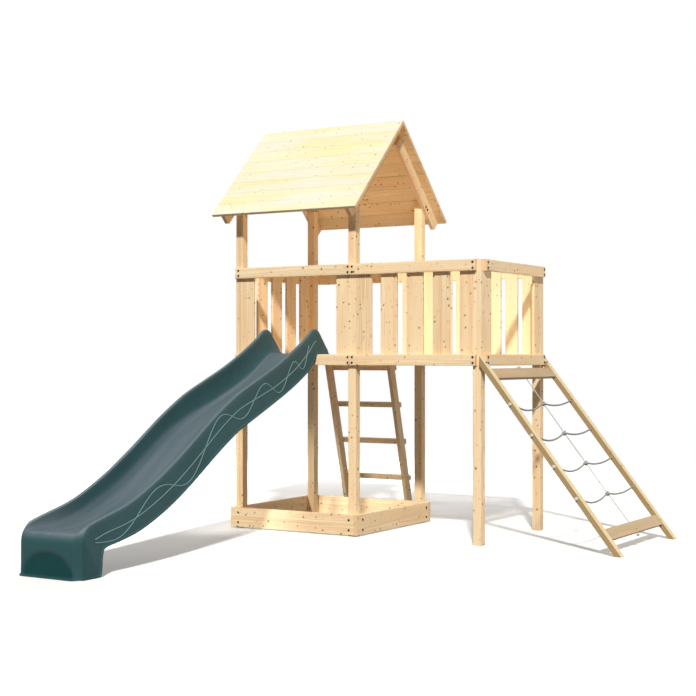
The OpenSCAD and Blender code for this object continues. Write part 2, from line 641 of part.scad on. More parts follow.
// Half of one cross section from the middle of the bed to the hem: place across, out and up
function half_section(s) = let (w = half_at(s[0]), wi = w - slide_rim, wb = wi - bowl,
  lift = s[0] > lip_d ? lip_roll : roll) concat(
  [for (k = [0, 0.25, 0.5, 0.72, 0.9]) [wb * k, out(s[0]) - recess(wb * k, s, s[1]), s[1]]],
  [for (a = [20, 42, 62, 78, 90]) let (q = mix(s, pow(1 - cos(a), 0.95)), x = wb + bowl * sin(a))
    [x, out(q[0]) - recess(x, s, q[1]), q[1]]],
  [for (a = [50, 90, 130, 180]) let (v = (1 - cos(a)) / 2)
    [wi + slide_rim * v, out(s[2]) - turn(s) * v, s[3] + lift * sin(a)]],
  [for (v = [0.33, 0.66, 0.96]) let (q = skirt(s, v)) [w + skirt_flare * v, q[0], q[1]]],
  [[w + hem_flare, out(s[4]), s[5]]]);
half_rows = [for (s = stations) half_section(s)];
n_half = len(half_rows[0]);
n_all = 2 * n_half - 1;
n_st = len(stations);
skin = [for (row = half_rows) concat(
  [for (k = [n_half - 1:-1:1]) [slide_x - row[k][0], -row[k][1], row[k][2]]],
  [for (q = row) [slide_x + q[0], -q[1], q[2]]])];
function cell_normal(i, k) = let (a = skin[min(i + 1, n_st - 1)][k] - skin[max(i - 1, 0)][k],
  b = skin[i][min(k + 1, n_all - 1)] - skin[i][max(k - 1, 0)], n = cross(b, a)) -n / max(norm(n), 0.001);
module slide() {
  outer = [for (row = skin) each row];
  inner = [for (i = [0:n_st - 1]) each [for (k = [0:n_all - 1]) skin[i][k] - slide_wall * cell_normal(i, k)]];
  off = n_st * n_all;
  faces = concat(
    [for (i = [0:n_st - 2]) each [for (k = [0:n_all - 2]) each
      let (a = i * n_all + k, b = a + 1, c = a + n_all, d = c + 1)
      [[a, d, b], [a, c, d], [off + a, off + b, off + d], [off + a, off + d, off + c]]]],
    [for (k = [0:n_all - 2]) each let (a = k, b = k + 1, c = (n_st - 1) * n_all + k, d = c + 1)
      [[a, b, off + b], [a, off + b, off + a], [d, c, off + c], [d, off + c, off + d]]],
    [for (i = [0:n_st - 2]) each let (a = i * n_all, c = a + n_all, b = a + n_all - 1, d = c + n_all - 1)
      [[c, a, off + a], [c, off + a, off + c], [b, d, off + d], [b, off + d, off + b]]]);
  color(green) polyhedron(concat(outer, inner), faces);
}

post_front_left();
post_front_right();
post_back_left();
post_back_right();
post_ext_front();
post_ext_back();
low_rail_front_tower();
low_rail_front_ext();
low_rail_right();
low_rail_back_ext();
low_rail_back_tower();
low_rail_left();
top_rail_front_tower();
top_rail_front_ext();
top_rail_right();
top_rail_back_ext();
top_rail_back_tower();
top_rail_left();
joists();
deck_tower();
deck_ext();
deck_strips();
slats_front_tower();
slats_front_ext();
slats_left();
slats_back_tower();
slats_back_ext();
slats_right();
rafter_front_left();
rafter_front_right();
rafter_back_left();
rafter_back_right();
roof_front();
roof_back();
sandbox_front();
sandbox_right();
sandbox_back();
sandbox_left();
ladder_stile_left();
ladder_stile_right();
ladder_rungs();
slide();
ramp_beam_front();
ramp_beam_back();
ramp_boards();
rope_centre();
rope_ends();
rope_1_front();
rope_2_front();
rope_3_front();
rope_4_front();
rope_1_back();
rope_2_back();
rope_3_back();
rope_4_back();
screws_front();
screws_back();
screws_sides();
screws_frame();
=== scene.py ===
"""Looks of a wooden climbing frame with a wave slide and a rope ramp, built around its CAD frame."""
import json
import math
import zlib

import bpy
import numpy as np
from bpy.props import FloatProperty, FloatVectorProperty, IntProperty, PointerProperty
from mathutils import Matrix, Vector


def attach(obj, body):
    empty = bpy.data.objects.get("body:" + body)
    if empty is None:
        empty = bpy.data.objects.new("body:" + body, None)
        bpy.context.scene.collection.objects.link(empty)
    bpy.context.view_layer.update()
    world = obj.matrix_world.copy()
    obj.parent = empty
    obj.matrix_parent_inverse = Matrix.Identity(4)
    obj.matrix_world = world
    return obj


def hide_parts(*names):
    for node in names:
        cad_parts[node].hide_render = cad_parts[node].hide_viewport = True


bl_info = {
    "name": "Climbing frame looks",
    "version": (1, 0, 0),
    "blender": (4, 5, 0),
    "location": "View3D > Sidebar > Climbing frame",
    "description": "Dresses the CAD parts of a climbing frame and makes its slide, ropes and stage",
    "category": "Object",
}

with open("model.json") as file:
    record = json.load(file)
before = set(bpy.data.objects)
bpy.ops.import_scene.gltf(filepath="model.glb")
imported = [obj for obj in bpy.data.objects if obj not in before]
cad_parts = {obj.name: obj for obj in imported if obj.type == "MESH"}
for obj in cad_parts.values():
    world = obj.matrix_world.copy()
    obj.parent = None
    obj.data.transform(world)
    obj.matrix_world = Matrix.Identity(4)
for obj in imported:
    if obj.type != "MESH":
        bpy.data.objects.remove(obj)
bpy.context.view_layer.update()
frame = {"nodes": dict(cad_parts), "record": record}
SLOTS = {part["node"]: part["material_slot"] for part in frame["record"]["subparts"]}
MM_PER_M = 1000

# Places in the shared frame, in metres
ROOF_PITCH = math.radians(45)
LADDER_LEAN = math.radians(15)
MID_Y = 0.4725
SLIDE_X = -0.490

# The ramp: its slope, the x and z of its top, and where along it the middle rope starts and ends
RAMP_SLOPE = math.radians(52)
RAMP_TOP = (0.980, 1.205)
RAMP_DOWN = np.array([math.cos(RAMP_SLOPE), 0.0, -math.sin(RAMP_SLOPE)])
MIDDLE_START = 0.071
MIDDLE_END = RAMP_TOP[1] / math.sin(RAMP_SLOPE) - 0.115 + 0.004

# Sides of the ramp in y: the way out, the beam's outer and inner faces, and where a rope half starts
RAMP_SIDES = {
    "front": (-1, -0.058, -0.002, -0.0017),
    "back": (1, 1.003, 0.947, 0.9467),
}
ROPE_GAP = 0.0003

# How the boards of a node lean: the axis, and the turn that brings them square to the frame
LEANS = {
    "roof_front": ("X", -ROOF_PITCH),
    "rafter_front": ("X", -ROOF_PITCH),
    "roof_back": ("X", ROOF_PITCH),
    "rafter_back": ("X", ROOF_PITCH),
    "ladder": ("X", -LADDER_LEAN),
    "ramp": ("Y", -RAMP_SLOPE),
}

# Boards: nearest and furthest pith as a share, length of a log and slant of its grain
PITH_SHARES = (0.4, 1.0)
LOG_LENGTH = 40
GRAIN_SLANT = 0.012
# Edges sharper than this stay sharp, and corners that agree to these digits of a metre are one
BOARD_SHARP = math.radians(50)
WELD_DIGITS = 5
# How square a face has to be to a board's own axes, and to the sun to take painted sunlight
SQUARE_ON = 0.9
SUNNY_ON = 0.6
SUNNY_SIDE = np.array([0.0, -0.7071, 0.7071])

# Side view of the slide in millimetres: distance out from the post line, and height
BED = [
    (-100, 1250.3), (-20, 1250.3), (64, 1250.3), (105, 1237), (160, 1202), (265, 1130), (400, 1058),
    (558, 988), (760, 905), (971, 819), (1100, 752), (1230, 675), (1380, 578), (1521, 489), (1650, 415),
    (1769, 356), (1950, 286), (2088, 252), (2250, 238),
]
RIM = [
    (-100, 1271.3), (-60, 1313.3), (-20, 1357.3), (10, 1391.3), (30, 1405.3), (55, 1412.3), (80, 1410.3),
    (105, 1400.3), (150, 1366), (265, 1297), (400, 1226), (558, 1152), (760, 1070), (971, 984),
    (1100, 917), (1230, 842), (1380, 745), (1521, 653), (1650, 575), (1769, 508), (1950, 420),
    (2088, 368), (2250, 326),
]
HEM = [
    (-100, 1251.3), (-20, 1251.3), (62, 1251.3), (78, 1236), (100, 1204), (150, 1148), (265, 1078),
    (400, 1010), (558, 940), (760, 856), (971, 768), (1100, 700), (1230, 622), (1380, 525), (1521, 438),
    (1650, 366), (1769, 308), (1950, 236), (2088, 200), (2250, 172),
]
# The rim and the hem further out, for the lines on the walls
RIM_ON = [(2325, 307), (2390, 288)]
HEM_ON = [(2325, 146), (2390, 122)]
# The line along the slide's outer walls: distance, and share of the way from the rim to the hem
LINE = [
    (41, 0.47), (156, 0.48), (286, 0.55), (422, 0.57), (569, 0.56), (828, 0.47), (965, 0.43),
    (1086, 0.44), (1320, 0.50), (1605, 0.55), (1990, 0.56), (2360, 0.54),
]
# Rows round the foot: distance and height of the bed, of the rim and of the hem
FOOT = [
    (2250, 238, 2250, 326, 2250, 172), (2330, 238, 2325, 307, 2280, 158),
    (2390, 243, 2383, 290, 2293, 130), (2430, 247, 2423, 275, 2299, 95),
    (2455, 243, 2447, 262, 2303, 55), (2472, 231, 2463, 246, 2306, 24),
    (2482, 214, 2472, 226, 2314, 8), (2487, 190, 2477, 198, 2340, 6),
    (2488, 150, 2478, 156, 2362, 6), (2488, 110, 2478, 114, 2384, 6),
    (2488, 70, 2478, 72, 2405, 6), (2489, 34, 2479, 35, 2424, 6),
    (2492, 12, 2482, 12, 2440, 6), (2503, 6, 2492, 6, 2452, 6),
]

# The slide in millimetres: ends of its run, half width and how it widens, and sizes of its section
SLIDE_START = -100
FOOT_START = 2250
HALF_WIDTH = 215
WIDENING = 11
WIDENING_LENGTH = 2600
RIM_WIDTH = 24
ARC_REACH = 48
ARC_POWER = 0.95
SKIRT_SPREAD = 6
LIP_SPREADS = (10, 13)
LIP_HEIGHT = 6
EDGE_TURN = 30
ARCH_DEPTH = 12
# Points across each strip of the section, and steps along the run and between the rows of the foot
FLAT_POINTS = 9
ARC_POINTS = 15
ROLL_POINTS = 17
SKIRT_POINTS = 14
RUN_STEP = 14
FOOT_STEPS = 5
# Where something starts, and how far on it is at its full: rim's turn, front face, recess and painted shade
# on the face
TURN_AT = (2400, 72)
FACE_AT = (2480, 6)
ARCH_AT = (8, 6)
FACE_SHADE_AT = (2474, 12)
# Changes along the slide: distances in millimetres, and the values there
RIM_LIFT = ([2390, 2455], [9, 1])
BED_SPREAD = ([0, 700, 1200, 2400], [14, 24, 40, 44])
BED_PALER = ([1900, 2250], [1, 1.2])
BED_ENDS = ([2450, 2484], [1, 0])
TREAD_STARTS = ([1950, 2280], [0, 1])
CREST_HIGHLIGHT_GROWS = ([900, 1700], [0.5, 1])
RIM_ENDS = ([2450, 2480], [1, 0])
# How strong the wear and painted light are: soft edge of the worn bed, the rims' wear, painted sheen
# and painted highlight, and painted shade on the face and on the lip
BED_EDGE = 7
CREST_HIGHLIGHT_WIDTH = 1.3
RIM_WEAR_AND_SHEEN = 0.45
FACE_SHADE = 0.35
LIP_SHADE = 0.8

# Lines on the slide's walls: start, end and step, the wave's first turn, its height, and the bead's form
LINE_SPAN = (60, 2352, 9.0)
WAVE_SPAN = (150, 2352, 6.0)
WAVE_TURN = 4
WAVE_HEIGHT = ([150, 700, 1200, 2352], [0.26, 0.30, 0.37, 0.38])
BEAD_SIDES = 10
BEAD_HEIGHT = 0.7
WALL_LEAN = 0.04

# Ropes: direction that their sections are squared to, points along them and sides of the thin turns
ROPE_GUIDE = np.array([0.3, 0.2, 1.0])
HALF_POINTS = 130
MIDDLE_STEP = 0.004
STUB_POINTS = 24
STUB_SIDES = 16
TURN_SIDES = 14
# Shape of a laid rope: strands, narrowest radius as a share, how round they are, how the ends close
STRANDS = 3
ROPE_WAIST = 0.74
STRAND_POWER = 0.55
END_LENGTH = 0.5
# Thickness of the hitches' turns and lay of the middle rope, as shares of the rope's own
KNOT_THIN = 0.4
MIDDLE_THIN = 0.45
STOPPER_THIN = 0.3
MIDDLE_LAY = 0.6
# How fresh the fibre is: middle rope, crossing knots, its end knots, stopper knots and cut ends
FRESH_MIDDLE = 0.35
FRESH_KNOT = 0.1
FRESH_END = 0.6
FRESH_STOPPER = 0.85
# Hitches: turns, pitch and slant in rope radii, rise of the turn on top, and places beyond the boards
HITCH_POINTS = 60
HITCH_TURNS = 2.1
HITCH_PITCH = 2.2
HITCH_SLANT = 1.9
HITCH_RISE = 0.001
HITCH_OUT = 0.009
STUB_OUT = 0.018

# Soft panels: name, setting with the watts, width and height, place, aim and colour
PANELS = (
    ("Side panel", "side_power", (4.0, 3.0), (6.0, 1.0, 1.8), (0.5, 0.5, 1.0), (1.0, 0.93, 0.82)),
    ("Back panel", "back_power", (5.0, 4.0), (-5.0, 5.5, 3.2), (0.0, 0.5, 1.0), (1.0, 0.96, 0.90)),
    ("Roof lamp", "fill_power", (0.8, 0.7), (-MID_Y, MID_Y, 1.95), (-MID_Y, MID_Y, 2.5),
     (1.0, 0.72, 0.45)),
    ("Slat lamp", "slat_power", (0.60, 0.45), (0.62, 0.22, 1.50), (0.62, 0.92, 1.50),
     (1.0, 0.95, 0.85)),
)
# The lamp beside the slide: place, aim, cone, softness of the cone's edge, and size
CONE_PLACE = (-1.40, -2.60, 1.30)
CONE_AIM = (-0.97, -0.03, 0.32)
CONE_ANGLE = math.radians(25)
CONE_BLEND = 0.8
CONE_SIZE = 0.12
DAYLIGHT = (1.0, 0.975, 0.93)
WHITE = (1, 1, 1, 1)
# The floor: half its width, and the distances between which it turns white
FLOOR_HALF = 60.0
FLOOR_FADE = (4.0, 9.0)


def linear(colour):
    """A display colour from 0 to 1 as linear light, with alpha."""
    c = np.array(colour[:3])
    light = np.where(c <= 0.04045, c / 12.92, ((c + 0.055) / 1.055) ** 2.4)
    return (*light.tolist(), 1.0)


class Shader:
    """A material's node tree, with short calls for the nodes that the finishes here use."""

    def __init__(self, name):
        self.material = bpy.data.materials.new(name)
        self.material.use_nodes = True
        self.tree = self.material.node_tree
        self.surface = self.tree.nodes["Principled BSDF"]

    def put(self, socket, value):
        """Sets a socket to a value, or links another socket to it."""
        if isinstance(value, bpy.types.NodeSocket):
            self.tree.links.new(value, socket)
        else:
            socket.default_value = value

    def node(self, kind, settings, inputs):
        """A node with those settings, and with inputs by name or number."""
        made = self.tree.nodes.new(kind)
        for key, value in settings.items():
            setattr(made, key, value)
        for key, value in inputs.items():
            self.put(made.inputs[key], value)
        return made

    def math(self, operation, *values):
        """The result of a maths node."""
        made = self.node("ShaderNodeMath", {"operation": operation}, dict(enumerate(values)))
        return made.outputs[0]

    def attribute(self, name, output="Fac"):
        """A named attribute of the mesh."""
        return self.node("ShaderNodeAttribute", {"attribute_name": name}, {}).outputs[output]

    def place(self):
        """Object coordinates."""
        return self.node("ShaderNodeTexCoord", {}, {}).outputs["Object"]

    def stretch(self, vector, factors):
        """A vector times a factor for each axis."""
        made = self.node("ShaderNodeVectorMath", {"operation": "MULTIPLY"}, {0: vector, 1: factors})
        return made.outputs[0]

    def noise(self, vector, scale, detail=2.0):
        """Noise from about 0.2 to 0.8."""
        made = self.node("ShaderNodeTexNoise", {}, {"Vector": vector, "Scale": scale, "Detail": detail})
        return made.outputs[0]

    def step(self, value, start, end):
        """0 before start, 1 after end and smooth between."""
        made = self.node("ShaderNodeMapRange", {"interpolation_type": "SMOOTHSTEP"},
                         {"Value": value, "From Min": start, "From Max": end})
        return made.outputs[0]

    def spread(self, value, low, high):
        """Noise from 0.3 to 0.7 brought to low and high."""
        ends = {"From Min": 0.3, "From Max": 0.7, "To Min": low, "To Max": high}
        return self.node("ShaderNodeMapRange", {}, {"Value": value, **ends}).outputs[0]

    def mix(self, share, first, second, blend="MIX"):
        """Two colours mixed by a share."""
        made = self.node("ShaderNodeMix", {"data_type": "RGBA", "blend_type": blend},
                         {0: share, 6: first, 7: second})
        return made.outputs[2]

    def tint(self, colour, share, strength, other):
        """A colour mixed with a display colour by a share times a strength."""
        return self.mix(self.math("MULTIPLY", share, strength), colour, linear(other))

    def shade(self, colour, value):
        """A colour times a grey value."""
        grey = self.node("ShaderNodeCombineColor", {}, {0: value, 1: value, 2: value}).outputs[0]
        return self.mix(1.0, colour, grey, "MULTIPLY")

    def finish(self, colour, roughness, height, depth, specular):
        """Sets the surface: colour, roughness, a bump of that depth in metres, and gloss."""
        bump = self.node("ShaderNodeBump", {}, {"Strength": 1.0, "Distance": depth, "Height": height})
        self.put(self.surface.inputs["Base Color"], colour)
        self.put(self.surface.inputs["Roughness"], roughness)
        self.put(self.surface.inputs["Specular IOR Level"], specular)
        self.put(self.surface.inputs["Normal"], bump.outputs[0])
        return self.material


def timber_finish(name, settings, light, warm, weathered=0.0, pale=None):
    """Solid softwood: growth rings round a pith beside each board, fibres along it, and knots that bend
    them. Weathered is how far a board's heartwood has faded, and how far its narrow sawn faces are
    painted darker as painted shade. Pale are the two colours of painted sunlight on faces towards the
    sun, which also get fainter rings, smaller knots and less board tone."""
    s = Shader(name)
    grain = s.attribute("grain", "Vector")
    tone = s.attribute("tone")
    parts = s.node("ShaderNodeSeparateXYZ", {}, {0: grain}).outputs
    # Knots: one in each cell of the wood, of its own size and with a ragged edge
    cells = s.node("ShaderNodeTexVoronoi", {}, {"Vector": grain, "Scale": 1 / settings.knot_spacing})
    size = s.node("ShaderNodeSeparateColor", {}, {0: cells.outputs["Color"]}).outputs[0]
    ragged = s.math("MULTIPLY_ADD", s.noise(grain, 90.0), 0.5, 0.75)
    radius = s.math("MULTIPLY_ADD", size, settings.knot_size / settings.knot_spacing, 0.02)
    # Painted sunlight: faces towards the sun get smaller knots
    if pale:
        painted_sunlit = s.attribute("sunny")
        radius = s.math("MULTIPLY", radius, s.math("MULTIPLY_ADD", painted_sunlit, -0.35, 1.0))
    reach = s.math("DIVIDE", s.math("MULTIPLY", cells.outputs["Distance"], ragged), radius)
    knot = s.step(reach, 1.05, 0.8)
    core = s.step(reach, 0.75, 0.2)
    halo = s.step(reach, 2.8, 0.9)
    # Rings: distance from the pith, bent along the board and pushed out round each knot
    bend = s.spread(s.noise(s.stretch(grain, (1.1, 5.0, 5.0)), 1.0), -0.012, 0.012)
    across = s.math("ADD", parts[1], bend)
    ring = s.math("SQRT", s.math("ADD", s.math("POWER", across, 2.0), s.math("POWER", parts[2], 2.0)))
    ring = s.math("MULTIPLY_ADD", halo, 0.006, ring)
    phase = s.math("FRACT", s.math("DIVIDE", ring, settings.ring_spacing))
    late = s.math("MULTIPLY", s.step(phase, 0.25, 0.85), s.step(phase, 1.0, 0.9))
    # Colour: patches, heartwood, painted sunlight on faces towards the sun, rings, fibres, the board's own
    # tone, knots, cut faces and painted shade on the narrow sawn faces
    fibre = s.noise(s.stretch(grain, (7.0, 260.0, 260.0)), 1.0, 3.0)
    patch = s.noise(s.stretch(grain, (1.3, 9.0, 9.0)), 1.0)
    colour = s.mix(s.spread(patch, 0.1, 0.75), linear(light), linear(warm))
    heart = s.step(s.noise(s.stretch(grain, (0.9, 17.0, 17.0)), 1.0, 3.0), 0.50, 0.68)
    colour = s.tint(colour, heart, settings.heart_strength * (1 - weathered), settings.heartwood)
    strength = settings.ring_strength
    # Painted sunlight: faces towards the sun take the pale colours, fainter rings and less board tone
    if pale:
        paler = s.mix(s.spread(patch, -0.2, 1.0), linear(pale[0]), linear(pale[1]))
        colour = s.mix(painted_sunlit, colour, paler)
        strength = s.math("MULTIPLY_ADD", painted_sunlit, -0.65 * strength, strength)
        tone = s.math("MULTIPLY", tone, s.math("MULTIPLY_ADD", painted_sunlit, -0.7, 1.0))
    colour = s.tint(colour, late, strength, settings.latewood)
    colour = s.shade(colour, s.spread(fibre, 0.94, 1.03))
    colour = s.shade(colour, s.math("MULTIPLY_ADD", tone, settings.board_variation, 1.0))
    colour = s.tint(colour, halo, 0.38, settings.latewood)
    colour = s.mix(knot, colour, linear(settings.knot_colour))
    colour = s.tint(colour, core, 0.15, settings.latewood)
    colour = s.tint(colour, s.attribute("end"), 0.45, settings.latewood)
    # Painted shade: the narrow sawn faces darken towards the sawn colour by the weathered share
    colour = s.tint(colour, s.attribute("side"), weathered, settings.sawn)
    height = s.math("ADD", s.math("MULTIPLY", late, 0.45), s.math("MULTIPLY", fibre, 0.8))
    rough = s.math("SUBTRACT", s.spread(fibre, 0.56, 0.7), s.math("MULTIPLY", knot, 0.12))
    return s.finish(colour, rough, height, 0.0004, 0.3)


def plastic_finish(name, settings):
    """Moulded plastic: faint clouding, a fine orange peel, a bed worn grey in streaks along it, worn rims
    with a painted sheen and a painted highlight on their crests, paler lines on the walls, and a deeper
    green for painted shade in the recess, on the front face and on the lip."""
    s = Shader(name)
    place = s.place()
    cloud = s.noise(place, 4.0, 4.0)
    scuff = s.noise(s.stretch(place, (70.0, 3.0, 3.0)), 1.0, 3.0)
    streak = s.noise(s.stretch(place, (16.0, 1.2, 1.2)), 1.0, 1.0)
    peel = s.noise(place, 350.0)
    worn = s.math("ADD", s.spread(scuff, 0.62, 0.80), s.spread(streak, -0.14, 0.16))
    colour = s.shade(linear(settings.plastic), s.spread(cloud, 0.92, 1.08))
    colour = s.tint(colour, s.attribute("bed"), worn, settings.worn_bed)
    # Rims: wear with a painted sheen, and a painted highlight along the crests
    colour = s.tint(colour, s.attribute("rim"), 0.9, settings.worn_rim_and_highlight)
    colour = s.mix(s.attribute("line"), colour, linear(settings.line_colour))
    # Painted shade: the recess, the front face and the lip take a near-black green
    colour = s.mix(s.attribute("recess"), colour, linear(settings.recess_shade_colour))
    rough = s.math("ADD", s.spread(cloud, 0.40, 0.48), s.spread(scuff, 0.0, 0.08))
    return s.finish(colour, rough, peel, 0.00025, 0.16)


def rope_finish(name, settings):
    """Laid rope: yarns that follow the twist, grey with lighter worn tops."""
    s = Shader(name)
    yarn = s.attribute("yarn", "Vector")
    fibre = s.noise(s.stretch(yarn, (900.0, 900.0, 40.0)), 1.0, 3.0)
    soil = s.noise(s.place(), 25.0, 3.0)
    colour = s.mix(s.spread(fibre, 0.0, 1.0), linear(settings.rope_dark), linear(settings.rope_light))
    colour = s.shade(colour, s.spread(soil, 0.82, 1.08))
    colour = s.mix(s.attribute("fresh"), colour, linear(settings.rope_end))
    return s.finish(colour, s.spread(fibre, 0.75, 0.9), fibre, 0.0006, 0.2)


def screw_finish(name, settings):
    """Black coated steel: a fine grain with small worn flecks."""
    s = Shader(name)
    place = s.place()
    grain = s.noise(place, 600.0)
    fleck = s.step(s.noise(place, 160.0, 3.0), 0.66, 0.74)
    colour = s.tint(linear(settings.coating), fleck, 0.6, settings.steel)
    return s.finish(colour, s.spread(grain, 0.36, 0.5), grain, 0.0001, 0.5)


def make_piece(name, points, faces, material, body="frame"):
    """A new mesh piece in the shared frame that goes with a body."""
    mesh = bpy.data.meshes.new(name)
    mesh.from_pydata(points.tolist(), [], faces)
    mesh.shade_smooth()
    mesh.materials.append(material)
    obj = bpy.data.objects.new(name, mesh)
    bpy.context.scene.collection.objects.link(obj)
    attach(obj, body)
    return obj


def write_attribute(obj, name, values, kind="FLOAT", domain="POINT"):
    """Writes one value, or one vector, for each point or face."""
    layer = obj.data.attributes.new(name, kind, domain)
    key = "vector" if kind == "FLOAT_VECTOR" else "value"
    layer.data.foreach_set(key, np.ascontiguousarray(values, dtype=np.float32).ravel())


def grid_faces(rows, columns, closed=False):
    """Four-sided faces of a grid of points, with its columns joined round where closed."""
    last = columns if closed else columns - 1
    i, j = np.meshgrid(np.arange(rows - 1), np.arange(last), indexing="ij")
    k = (j + 1) % columns
    here = i * columns
    below = here + columns
    return np.stack([here + j, below + j, below + k, here + k], axis=-1).reshape(-1, 4)


def merged_mesh(node):
    """Points and triangles of a CAD node with the corners that its triangles share made one."""
    source = frame["nodes"][node]
    mesh = source.data
    points = np.empty(len(mesh.vertices) * 3)
    mesh.vertices.foreach_get("co", points)
    corners = np.empty(len(mesh.loops), dtype=np.int64)
    mesh.loops.foreach_get("vertex_index", corners)
    world = np.array(source.matrix_world)
    points = points.reshape(-1, 3) @ world[:3, :3].T + world[:3, 3]
    rounded = np.round(points, WELD_DIGITS)
    _, first, place = np.unique(rounded, axis=0, return_index=True, return_inverse=True)
    triangles = place.ravel()[corners].reshape(-1, 3)
    apart = (triangles != np.roll(triangles, 1, axis=1)).all(axis=1)
    return points[first], triangles[apart]


def solid_labels(count, triangles):
    """A number for each point that is the same over one connected solid."""
    labels = np.arange(count)
    while True:
        lowest = labels[triangles].min(axis=1)
        wider = labels.copy()
        np.minimum.at(wider, triangles.ravel(), np.repeat(lowest, 3))
        wider = wider[wider]
        if (wider == labels).all():
            return np.unique(labels, return_inverse=True)[1].ravel()
        labels = wider


def lean_of(node):
    """The turn that brings a node's boards square to the frame."""
    for start, (axis, angle) in LEANS.items():
        if node.startswith(start):
            return np.array(Matrix.Rotation(angle, 3, axis))
    return np.eye(3)


def face_normals(points, triangles):
    """Normals of triangles, and their lengths in a column."""
    corners = points[triangles]
    normal = np.cross(corners[:, 1] - corners[:, 0], corners[:, 2] - corners[:, 0])
    return normal, np.linalg.norm(normal, axis=1, keepdims=True)


def board_grain(node, points, triangles, spread):
    """For each point its place along, across and through its own board, and that board's tone. Then for
    each face whether it is a board's end, a board's edge, and towards the sun."""
    random = np.random.default_rng(zlib.crc32(node.encode()))
    square = points @ lean_of(node).T
    labels = solid_labels(len(points), triangles)
    boards = labels.max() + 1
    low = np.full((boards, 3), np.inf)
    high = np.full((boards, 3), -np.inf)
    np.minimum.at(low, labels, square)
    np.maximum.at(high, labels, square)
    order = np.argsort(low - high, axis=1, kind="stable")
    local = np.take_along_axis(square - ((low + high) / 2)[labels], order[labels], axis=1)
    pith = random.uniform(0, 2 * math.pi, boards)
    away = random.uniform(*PITH_SHARES, boards) * spread
    start = random.uniform(0, LOG_LENGTH, boards)
    shift = np.stack([start, away * np.cos(pith), away * np.sin(pith)], axis=1)
    slant = random.uniform(-GRAIN_SLANT, GRAIN_SLANT, (boards, 2))
    grain = local + shift[labels]
    grain[:, 1:] += slant[labels] * local[:, :1]
    tone = random.uniform(-1, 1, boards)[labels]
    normal, size = face_normals(local, triangles)
    square_on = np.abs(normal) > SQUARE_ON * size
    facing, size = face_normals(points, triangles)
    # Faces towards the sun get painted sunlight
    sunny = facing @ SUNNY_SIDE > SUNNY_ON * size[:, 0]
    return grain, tone, square_on[:, 0], square_on[:, 1], sunny


def smooth_copy(node, name, material, sharp):
    """A merged copy of a CAD node that takes its place, smooth but for edges sharper than an angle."""
    points, triangles = merged_mesh(node)
    obj = make_piece(name, points, triangles.tolist(), material)
    obj.data.set_sharp_from_angle(angle=sharp)
    weighted = obj.modifiers.new("Even normals", "WEIGHTED_NORMAL")
    weighted.keep_sharp = True
    weighted.weight = 100
    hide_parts(node)
    return obj, points, triangles


def rise(values, start, width):
    """0 up to start, then straight up to 1 over a width."""
    return np.clip((values - start) / width, 0, 1)


def smooth_curve(points, at):
    """Height at a distance: cubic pieces through given points. The slope at a point is the slope
    between its neighbours."""
    x, z = np.array(points, dtype=float).T
    rate = np.gradient(z)
    rate[1:-1] = (z[2:] - z[:-2]) / (x[2:] - x[:-2])
    rate[0] = (z[1] - z[0]) / (x[1] - x[0])
    rate[-1] = (z[-1] - z[-2]) / (x[-1] - x[-2])
    i = np.clip(np.searchsorted(x, at) - 1, 0, len(x) - 2)
    gap = x[i + 1] - x[i]
    u = (at - x[i]) / gap
    start = z[i] * (1 + 2 * u) * (1 - u) ** 2 + rate[i] * gap * u * (1 - u) ** 2
    return start + z[i + 1] * u ** 2 * (3 - 2 * u) + rate[i + 1] * gap * u ** 2 * (u - 1)


def slide_half_width(d):
    """Half the slide's width at a distance out, in millimetres: a slow widening to the foot."""
    return HALF_WIDTH + WIDENING * np.minimum(1, (d - SLIDE_START) / WIDENING_LENGTH)


def slide_rows():
    """Side view of the slide row by row: distance and height of the bed, of the rim and of the hem."""
    d = np.arange(SLIDE_START, FOOT_START, RUN_STEP)
    columns = [d, smooth_curve(BED, d), d, smooth_curve(RIM, d), d, smooth_curve(HEM, d)]
    rows = np.arange(len(FOOT))
    fine = np.linspace(0, len(FOOT) - 1, (len(FOOT) - 1) * FOOT_STEPS + 1)
    foot = np.stack([smooth_curve(list(zip(rows, column)), fine) for column in zip(*FOOT)], axis=1)
    foot[:, [1, 3, 5]] = np.maximum(foot[:, [1, 3, 5]], LIP_HEIGHT)
    return np.concatenate([np.stack(columns, axis=1), foot])


def mirrored(right, sign):
    """Columns from the middle outwards, with their mirror image before them."""
    return np.concatenate([sign * right[:, :0:-1], right], axis=1)


